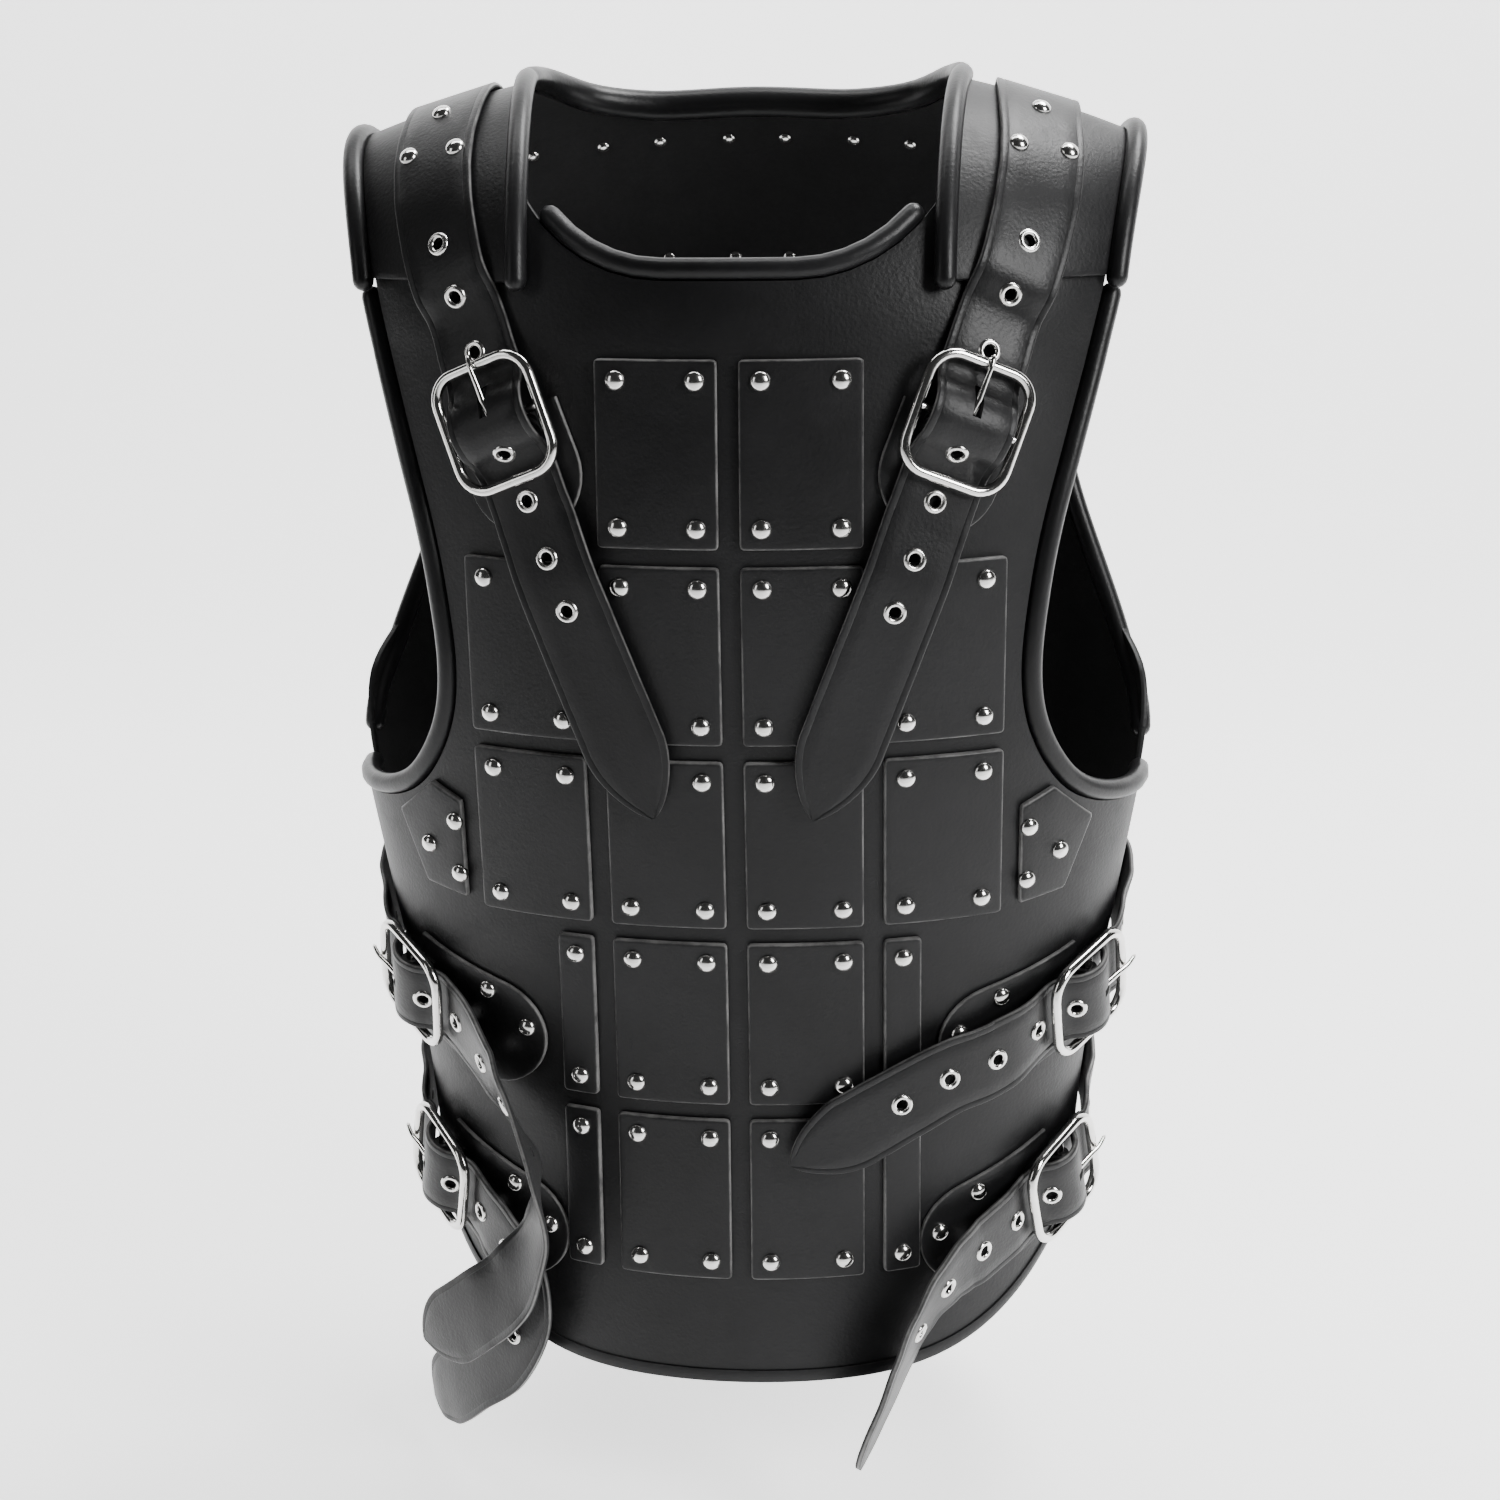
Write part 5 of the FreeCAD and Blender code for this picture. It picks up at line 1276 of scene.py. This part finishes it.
def strap_piece(form, name, stations, tip_back, count):
    """A strap through stations, with its centre line for the eyelets."""
    straps = form.straps
    stations = matched(stations)
    half, thick = straps.strap_width / 2, straps.strap_wall
    centres = spline([p for p, side, out in stations], count)
    knots = [0.0]
    for a, b in zip(stations, stations[1:]):
        knots.append(knots[-1] + (b[0] - a[0]).length)
    lengths = [knots[-1] * k / (count - 1) for k in range(count)]
    ways = directions(centres)
    frames = []
    for at, way in zip(lengths, ways):
        i = max(k for k in range(len(knots) - 1) if knots[k] <= at)
        u = (at - knots[i]) / max(knots[i + 1] - knots[i], 1e-9)
        u = u * u * (3 - 2 * u)
        side = stations[i][1].lerp(stations[i + 1][1], u)
        face_hint = stations[i][2].lerp(stations[i + 1][2], u)
        side = (side - way * side.dot(way)).normalized()
        out = side.cross(way)
        frames.append((side, out if out.dot(face_hint) > 0 else -out))
    rings = []
    total = lengths[-1]
    for centre, (side, out), at in zip(centres, frames, lengths):
        left = total - at
        wide = half
        if left < tip_back:
            u = 1 - left / tip_back
            wide = half * max(0.04, math.cos(u * math.pi / 2) ** 0.62 * (1 - 0.12 * u))
        rings.append([centre + side * x + out * z for x, z in strap_section(wide, thick)])
    return rings_mesh(name, rings), centres, frames, lengths


def near_length(centres, lengths, point):
    k = min(range(len(centres)), key=lambda i: (centres[i] - point).length)
    return lengths[k]


def at_length(centres, frames, lengths, want):
    k = min(range(len(lengths)), key=lambda i: abs(lengths[i] - want))
    return centres[k], frames[k][0], frames[k][1]


def finish_strap(form, strap, centres, frames, lengths, holes, seat, name, tail):
    """Punches a strap's holes, marks its flesh side and gives it its leather."""
    straps = form.straps
    cutters, rings = [], []
    for want in holes:
        at, side, out = at_length(centres, frames, lengths, want)
        ahead = side.cross(out)
        deep = straps.strap_wall * 1.5
        bore = straps.eyelet_bore
        circle = [at + side * (bore * math.cos(a * DEGREE)) + ahead * (bore * math.sin(a * DEGREE))
                  for a in range(0, 360, 20)]
        cutters.append(prism("hole", [p - out * deep for p in circle], out * (deep * 2)))
        rings.append((at + out * (straps.strap_wall / 2), out))
    slot = []
    low, high = form.side_reach * SLOT_LOW, form.side_reach * SLOT_HIGH
    for x, d in ((-1, low), (1, low), (1, high), (-1, high)):
        slot.append(seat.place(x * straps.prong_radius * 1.25, d, form.under_wire - straps.strap_wall))
    cutters.append(prism("slot", slot, seat.out * (form.over_bar - form.under_wire + straps.strap_wall * 3)))
    carve(strap, cutters)
    smooth_shade(strap, STRAP_SHARP)
    tree = kdtree.KDTree(len(centres))
    for k, centre in enumerate(centres):
        tree.insert(centre, k)
    tree.balance()
    flesh, rim = [], []
    for vertex in strap.data.vertices:
        at, k, away = tree.find(vertex.co)
        side, out = frames[k]
        up = (vertex.co - centres[k]).dot(out) / (straps.strap_wall / 2)
        flesh.append(max(0.0, min(1.0, 0.5 - up * 0.6)))
        # The strap's cut edges are marked for the edge colour, which is partly wear and partly painted
        # highlight
        rim.append(1.0 - min(1.0, abs(up)) ** 3)
    mark(strap, "flesh", flesh)
    mark(strap, "rim", rim)
    mark_rest(strap)
    dress(strap, "strap leather", None, "strap_leather", name, tail)
    seat.place(0, -form.exit_reach + 0.002, form.under_wire)
    seat.place(0, -form.exit_reach - 0.016, form.under_wire)
    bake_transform(strap)
    return rings


def lay_strap(form, tree, name, tail, seat, stations, tip_back, count, steps, kept):
    """Makes a strap and the eyelets of its tail, and gives back the first ones, which don't move."""
    strap, centres, frames, lengths = strap_piece(form, name, stations, tip_back, count)
    middle = near_length(centres, lengths, seat.place(0, 0, form.over_bar)) - form.side_reach * PRONG_SHARE
    holes = [middle + form.straps.eyelet_pitch * k for k in steps]
    rings = finish_strap(form, strap, centres, frames, lengths, holes, seat, name, tail)
    moving = tree.fill(tail + "_rings", rings[kept:])
    dress(moving, "nickel eyelets", tail, "eyelet_nickel", tail + "_eyelets")
    return rings[:kept]


def make_straps(form):
    straps = form.straps
    metal = finishes(bpy.context.scene)["nickel eyelets"]
    tree = eyelet_tree("Eyelets", straps.eyelet_radius, straps.eyelet_bore, EYELET_RIM, metal)
    seats = form.seats()
    fixed = []
    for name, side in SIDES:
        seat = seats[name + "_shoulder"]
        on_flap = form.flap_lift(0) + form.wall + form.gap * 2 + straps.strap_wall / 2
        on_shell = form.wall + form.gap + straps.strap_wall / 2
        start, bar, leave = straps.start_run, straps.shoulder_bar_run, form.body.flap_reach
        near = bar - form.side_reach * LEAD_SHARE
        runs = [start + (leave - start) * k / FLAP_STRETCHES for k in range(FLAP_STRETCHES + 1)]
        lifts = [on_flap] * len(runs) + [on_shell + form.gap]
        runs.append((leave * LEAVE_WEIGHT + near * NEAR_WEIGHT) / (LEAVE_WEIGHT + NEAR_WEIGHT))
        places = [(form.turn_at(form.strap_x(r), r) * side, r, lift) for r, lift in zip(runs, lifts)]
        stations = skin_stations(form, places) + buckle_stations(form, seat)
        top = form.plate_top + form.gap + form.goods.rivet_dome + form.gap * 2 + straps.strap_wall / 2
        first = bar + form.exit_reach + straps.strap_wall * 4
        tip = straps.shoulder_tip_run
        runs = [first + (tip - first) * k / TAIL_STRETCHES for k in range(TAIL_STRETCHES + 1)]
        lifts = [top - straps.strap_wall] + [top] * TAIL_STRETCHES
        places = [(form.turn_at(form.strap_x(r), r) * side, r, lift) for r, lift in zip(runs, lifts)]
        stations += skin_stations(form, places)
        fixed += lay_strap(form, tree, "shoulder_strap_" + name, name + "_shoulder_tail", seat, stations,
                           straps.strap_width * SHOULDER_TIP_SHARE, SHOULDER_STRAP_STEPS,
                           SHOULDER_EYELETS, SHOULDER_FIXED)
    bar = straps.side_bar / DEGREE
    for name, side in SIDES:
        for level, height in (("upper", straps.upper_bar), ("lower", straps.lower_bar)):
            key = "%s_%s" % (name, level)
            seat = seats[key]
            first, near = SIDE_STRAP_TURN, bar + SIDE_STRAP_LEAD_TURN
            lift = form.wall + form.gap * 2 + straps.strap_wall / 2
            places = []
            for k in range(SIDE_STRETCHES + 1):
                degrees = first + (near - first) * k / SIDE_STRETCHES
                up = height + straps.side_rise * min(1.0, (degrees - bar) / SIDE_STRAP_RISE_TURN)
                places.append((degrees * DEGREE * side, form.hem_run - up,
                               lift if degrees > OVERLAP_TURN else lift + straps.strap_wall / 2))
            stations = skin_stations(form, places) + buckle_stations(form, seat)
            stations += tail_stations(form, key, side)
            fixed += lay_strap(form, tree, "side_strap_" + key, key + "_tail", seat, stations,
                               SIDE_TIP_LENGTH, SIDE_STRAP_STEPS, SIDE_EYELETS, SIDE_FIXED)
    dress(tree.fill("strap_rings", fixed), "nickel eyelets", "root", "eyelet_nickel", "strap_eyelets")


# Buckles
def round_line(x, y, corner, steps=8):
    """A rounded rectangle as points."""
    out = []
    for quadrant in range(4):
        cx, cy = (x - corner) * (1, -1, -1, 1)[quadrant], (y - corner) * (1, 1, -1, -1)[quadrant]
        for k in range(steps + 1):
            turned = (quadrant + k / steps) * math.pi / 2
            out.append((cx + corner * math.cos(turned), cy + corner * math.sin(turned)))
    return out


def wire_mesh(name, points, radii, closed, facing, corners=14):
    """Round wire along points; facing is a direction square to its plane."""
    count = len(points)
    rings = []
    for k, point in enumerate(points):
        if closed:
            ahead = (points[(k + 1) % count] - points[k - 1]).normalized()
        else:
            ahead = (points[min(k + 1, count - 1)] - points[max(k - 1, 0)]).normalized()
        side = ahead.cross(facing).normalized()
        out = side.cross(ahead)
        rings.append(ring_round(point, side, out, radii[k], corners))
    return rings_mesh(name, rings, closed)


def make_buckles(form):
    straps = form.straps
    for name, seat in form.seats().items():
        wire = straps.wire_radius
        line = round_line(form.bar_reach, form.side_reach, straps.frame_corner - wire)
        points = [seat.place(x, y, 0) for x, y in line]
        loop = wire_mesh("wire", points, [wire] * len(points), True, seat.out, 16)
        ends = [seat.place(form.bar_reach * (k / 5 - 1), 0, 0) for k in range(11)]
        bar = wire_mesh("bar", ends, [straps.bar_radius] * 11, False, seat.out)
        buckle = join(name + "_frame_wire", [loop, bar])
        dress(buckle, "buckle nickel", name + "_frame", "buckle_steel", name + "_frame")
        make_prong(form, name, seat)
        make_chape(form, name, seat)


PRONG_STEPS, PRONG_NECK, PRONG_TAPER, PRONG_TIP = 26, 0.8, 0.42, 0.45
CHAPE_END_TURNS = (10, 20, 30, 40, 50, 60, 68, 75, 81, 85.5, 88.5)


def make_prong(form, name, seat):
    """The prong: an eye bent round the bar and a tapered shaft over the far side of the frame."""
    straps = form.straps
    thick = straps.prong_radius
    eye = straps.bar_radius + straps.bar_play + thick * 0.8
    line = [(eye * math.cos(a * DEGREE), eye * math.sin(a * DEGREE)) for a in range(-300, 31, 15)]
    reach, over = form.side_reach, straps.wire_radius + thick * 0.8
    tip = reach + (straps.prong_overhang if "shoulder" in name else straps.side_prong_overhang)
    rest = [Vector((0, y, z)) for y, z in (
        line[-1], (reach * 0.35, thick * 1.7), (reach * 0.7, over * 0.85), (reach, over),
        (tip, over - thick * 0.9))]
    shaft = spline(rest, PRONG_STEPS)[1:]
    line = line + [(p.y, p.z) for p in shaft]
    points = [seat.place(0, y, z) for y, z in line]
    count = len(line)
    radii = []
    for k in range(count):
        u = max(0.0, (k - (count - PRONG_STEPS)) / PRONG_STEPS)
        end = 1 if k < count - 1 else PRONG_TIP
        radii.append(thick * (PRONG_NECK + (1 - PRONG_NECK) * min(1.0, u * 4)) * (1 - PRONG_TAPER * u) * end)
    prong = wire_mesh(name + "_prong_wire", points, radii, False, seat.across, 12)
    dress(prong, "buckle nickel", name + "_prong", "buckle_steel", name + "_prong")


def make_chape(form, name, seat):
    """The round-ended tab below a buckle and its fold round the bar."""
    straps, goods = form.straps, form.goods
    half = straps.chape_width / 2
    reach = straps.shoulder_chape if "shoulder" in name else straps.side_chape
    bevel = goods.plate_bevel * 0.8
    round_from = reach - half
    rows = [straps.bar_radius] + ([-round_from * k / 8 for k in range(1, 9)] if round_from > 0.002 else [])
    rows += [-(round_from + half * math.sin(a * DEGREE)) for a in CHAPE_END_TURNS]
    near_rim = [0.0, 0.008, 0.02, 0.04, 0.075]
    shares = near_rim + [0.075 + 0.85 * k / 10 for k in range(1, 10)] + [1 - s for s in reversed(near_rim)]
    rims = []

    def spot(i, j, top):
        d = rows[round(j * (len(rows) - 1))]
        past = max(0.0, -d - round_from)
        wide = half if past <= 0 else math.sqrt(max(half * half - past * past, 0.0))
        x = wide * (2 * i - 1)
        rim = min(half - math.hypot(x, past), half) if past > 0 else half - abs(x)
        drop = max(0.0, 1 - rim / bevel)
        worn = bevel * 0.7 * (1 - math.sqrt(max(0.0, 1 - drop * drop)))
        up = form.chape_floor + (straps.chape_wall - worn if top else 0)
        rims.append(drop if top else 1.0)
        return form.on(*seat.below(x, d), up)
    tab = sheet("tab", spot, shares, [k / (len(rows) - 1) for k in range(len(rows))])
    mark(tab, "rim", rims)
    foot = -form.bar_height + form.chape_floor + straps.chape_wall * 0.5
    ring = straps.bar_radius + straps.bar_play + straps.chape_wall / 2
    path = [Vector((0, -form.knuckle * 2.4, foot)), Vector((0, -form.knuckle * 1.7, foot + 0.001))]
    path += [Vector((0, ring * math.cos(a * DEGREE), ring * math.sin(a * DEGREE)))
             for a in range(170, -91, -20)]
    path += [Vector((0, -form.knuckle * 0.6, foot + 0.0006)), Vector((0, -form.knuckle * 1.6, foot))]
    path = spline(path, 34)
    pieces = [tab]
    inner, outer = straps.prong_slot / 2, straps.knuckle_width / 2
    for side in (-1, 1):
        rings = []
        for point, way in zip(path, directions(path)):
            out = Vector((0, -way.z, way.y))
            thick = straps.chape_wall / 2
            corner = [(inner, -thick), (outer, -thick), (outer, thick), (inner, thick)]
            rings.append([seat.place(side * x, point.y + out.y * z, point.z + out.z * z) for x, z in corner])
        pieces.append(rings_mesh("fold", rings))
    chape = join(name + "_chape_leather", pieces)
    dress(chape, "chape leather", "root", "strap_leather", name + "_chape")


# Stage
FLOOR_Z, FLOOR_REACH, FLOOR_FLAT, FLOOR_BEND, WALL_TOP = -0.085, 3.0, 1.2, 0.8, 4.0
# The floor glows behind the object and not before it, so that the leather stays dark
GLOW, GLOW_FROM_TO, SKY = 1.5, (-0.55, -0.05), 0.03
AIM = (0, 0, 0.3)
# Name, place, aim, width, height and power of each light
LIGHTS = (("key", (1.6, -1.2, 1.3), AIM, 0.6, 1.1, 44), ("fill", (-1.9, -1.3, 0.9), AIM, 0.6, 1.4, 5),
          ("top", (0.6, 0.4, 1.8), AIM, 0.7, 0.5, 26),
          ("backdrop", (0.0, 0.4, 2.6), (0, 2.0, 0.6), 3.0, 0.8, 60))


def area_light(name, place, aim, wide, tall, power):
    lamp = bpy.data.lights.new(name, "AREA")
    lamp.shape, lamp.size, lamp.size_y, lamp.energy = "RECTANGLE", wide, tall, power
    item = bpy.data.objects.new(name, lamp)
    bpy.context.scene.collection.objects.link(item)
    item.location = place
    item.rotation_euler = (Vector(aim) - Vector(place)).to_track_quat("-Z", "Y").to_euler()


def make_stage(scene):
    look = scene.brigandine_finish
    camera = bpy.data.objects.new("Camera", bpy.data.cameras.new("Camera"))
    scene.collection.objects.link(camera)
    scene.camera = camera
    camera.data.lens, camera.data.sensor_width = look.lens, 36.0
    turn, tilt = look.camera_turn, look.camera_tilt
    right = Vector((math.cos(turn), math.sin(turn), 0))
    back = Vector((math.sin(turn), -math.cos(turn), 0))
    camera.location = back * look.camera_distance + right * look.camera_side
    camera.location.z = look.camera_height
    camera.rotation_euler = (Matrix.Rotation(turn, 3, "Z") @ Matrix.Rotation(math.pi / 2 - tilt, 3, "X")
                             @ Matrix.Rotation(look.camera_roll, 3, "Z")).to_euler()
    far, flat, bend = FLOOR_REACH, FLOOR_FLAT, FLOOR_BEND
    profile = [(-far, FLOOR_Z), (flat, FLOOR_Z)]
    profile += [(flat + bend * math.sin(a * DEGREE), FLOOR_Z + bend - bend * math.cos(a * DEGREE))
                for a in range(10, 91, 10)] + [(flat + bend, WALL_TOP)]
    points, faces = [], []
    for y, z in profile:
        points += [(-far * 1.5, y, z), (far * 1.5, y, z)]
    for k in range(len(profile) - 1):
        faces.append((2 * k, 2 * k + 1, 2 * k + 3, 2 * k + 2))
    floor = put_mesh("floor", points, faces)
    paper = Finish("paper")
    place = paper.node("ShaderNodeTexCoord", {}, (), "Object")
    pale = tuple(look.floor_tint)
    tone = paper.mix(paper.noise(place, 3.0), pale, tuple(c * 0.98 for c in pale))
    depth = paper.node("ShaderNodeSeparateXYZ", {}, {0: place}, 1)
    glow = paper.mix(depth.ramp(*GLOW_FROM_TO), (0.10, 0.10, 0.10), tone)
    floor.data.materials.append(paper.surface(base_color=tone, roughness=0.9, emission_color=glow,
                                              emission_strength=GLOW))
    world = bpy.data.worlds.new("studio")
    scene.world = world
    world.use_nodes = True
    sky = world.node_tree.nodes["Background"]
    sky.inputs[0].default_value = (1.0, 1.0, 1.0, 1.0)
    sky.inputs[1].default_value = SKY
    for light in LIGHTS:
        area_light(*light)


# Operators, one for each piece or group of like pieces
class Step:
    """What the operators share."""
    bl_options = {"REGISTER"}

    def execute(self, context):
        self.make(context)
        return {"FINISHED"}


class BRIGANDINE_OT_stage(Step, bpy.types.Operator):
    """Sets the camera, the lights and the floor"""
    bl_idname = "brigandine.stage"
    bl_label = "Stage"

    def make(self, context):
        make_stage(context.scene)


class BRIGANDINE_OT_shells(Step, bpy.types.Operator):
    """Makes the breast shell and the back shell"""
    bl_idname = "brigandine.shells"
    bl_label = "Shells"

    def make(self, context):
        form = Form(context.scene)
        make_front_shell(form)
        make_back_shell(form)


class BRIGANDINE_OT_rolls(Step, bpy.types.Operator):
    """Makes the rolled edges and the bands along the hem"""
    bl_idname = "brigandine.rolls"
    bl_label = "Rolled edges"

    def make(self, context):
        form = Form(context.scene)
        make_rolls(form)
        make_hem_bands(form)


class BRIGANDINE_OT_plates(Step, bpy.types.Operator):
    """Makes the riveted leather plates"""
    bl_idname = "brigandine.plates"
    bl_label = "Plates"

    def make(self, context):
        make_plates(Form(context.scene))


class BRIGANDINE_OT_rivets(Step, bpy.types.Operator):
    """Sets every rivet with its back"""
    bl_idname = "brigandine.rivets"
    bl_label = "Rivets"

    def make(self, context):
        make_rivets(Form(context.scene))


class BRIGANDINE_OT_straps(Step, bpy.types.Operator):
    """Makes the straps with their tails and eyelets"""
    bl_idname = "brigandine.straps"
    bl_label = "Straps"

    def make(self, context):
        make_straps(Form(context.scene))


class BRIGANDINE_OT_buckles(Step, bpy.types.Operator):
    """Makes the buckles, their prongs and the chapes that hold them"""
    bl_idname = "brigandine.buckles"
    bl_label = "Buckles"

    def make(self, context):
        make_buckles(Form(context.scene))


STEPS = (BRIGANDINE_OT_stage, BRIGANDINE_OT_shells, BRIGANDINE_OT_rolls, BRIGANDINE_OT_plates,
         BRIGANDINE_OT_rivets, BRIGANDINE_OT_straps, BRIGANDINE_OT_buckles)
GROUPS = {"brigandine_body": BrigandineBody, "brigandine_leather": BrigandineLeather,
          "brigandine_straps": BrigandineStraps, "brigandine_finish": BrigandineFinish}


class BRIGANDINE_PT_panel(bpy.types.Panel):
    """Lists the sizes and the pieces."""
    bl_label = "Brigandine"
    bl_space_type = "VIEW_3D"
    bl_region_type = "UI"
    bl_category = "Brigandine"

    def draw(self, context):
        for step in STEPS:
            self.layout.operator(step.bl_idname)
        for name, group in GROUPS.items():
            box = self.layout.box()
            box.label(text=group.__doc__)
            for key in group.__annotations__:
                box.prop(getattr(context.scene, name), key)


def register():
    for kind in (*GROUPS.values(), *STEPS, BRIGANDINE_PT_panel):
        bpy.utils.register_class(kind)
    for name, group in GROUPS.items():
        setattr(bpy.types.Scene, name, bpy.props.PointerProperty(type=group))


def unregister():
    for name in GROUPS:
        delattr(bpy.types.Scene, name)
    for kind in (BRIGANDINE_PT_panel, *reversed(STEPS), *reversed(GROUPS.values())):
        bpy.utils.unregister_class(kind)


def main():
    register()
    bpy.ops.brigandine.stage()
    bpy.ops.brigandine.shells()
    bpy.ops.brigandine.rolls()
    bpy.ops.brigandine.plates()
    bpy.ops.brigandine.rivets()
    bpy.ops.brigandine.straps()
    bpy.ops.brigandine.buckles()


if __name__ == "__main__":
    main()
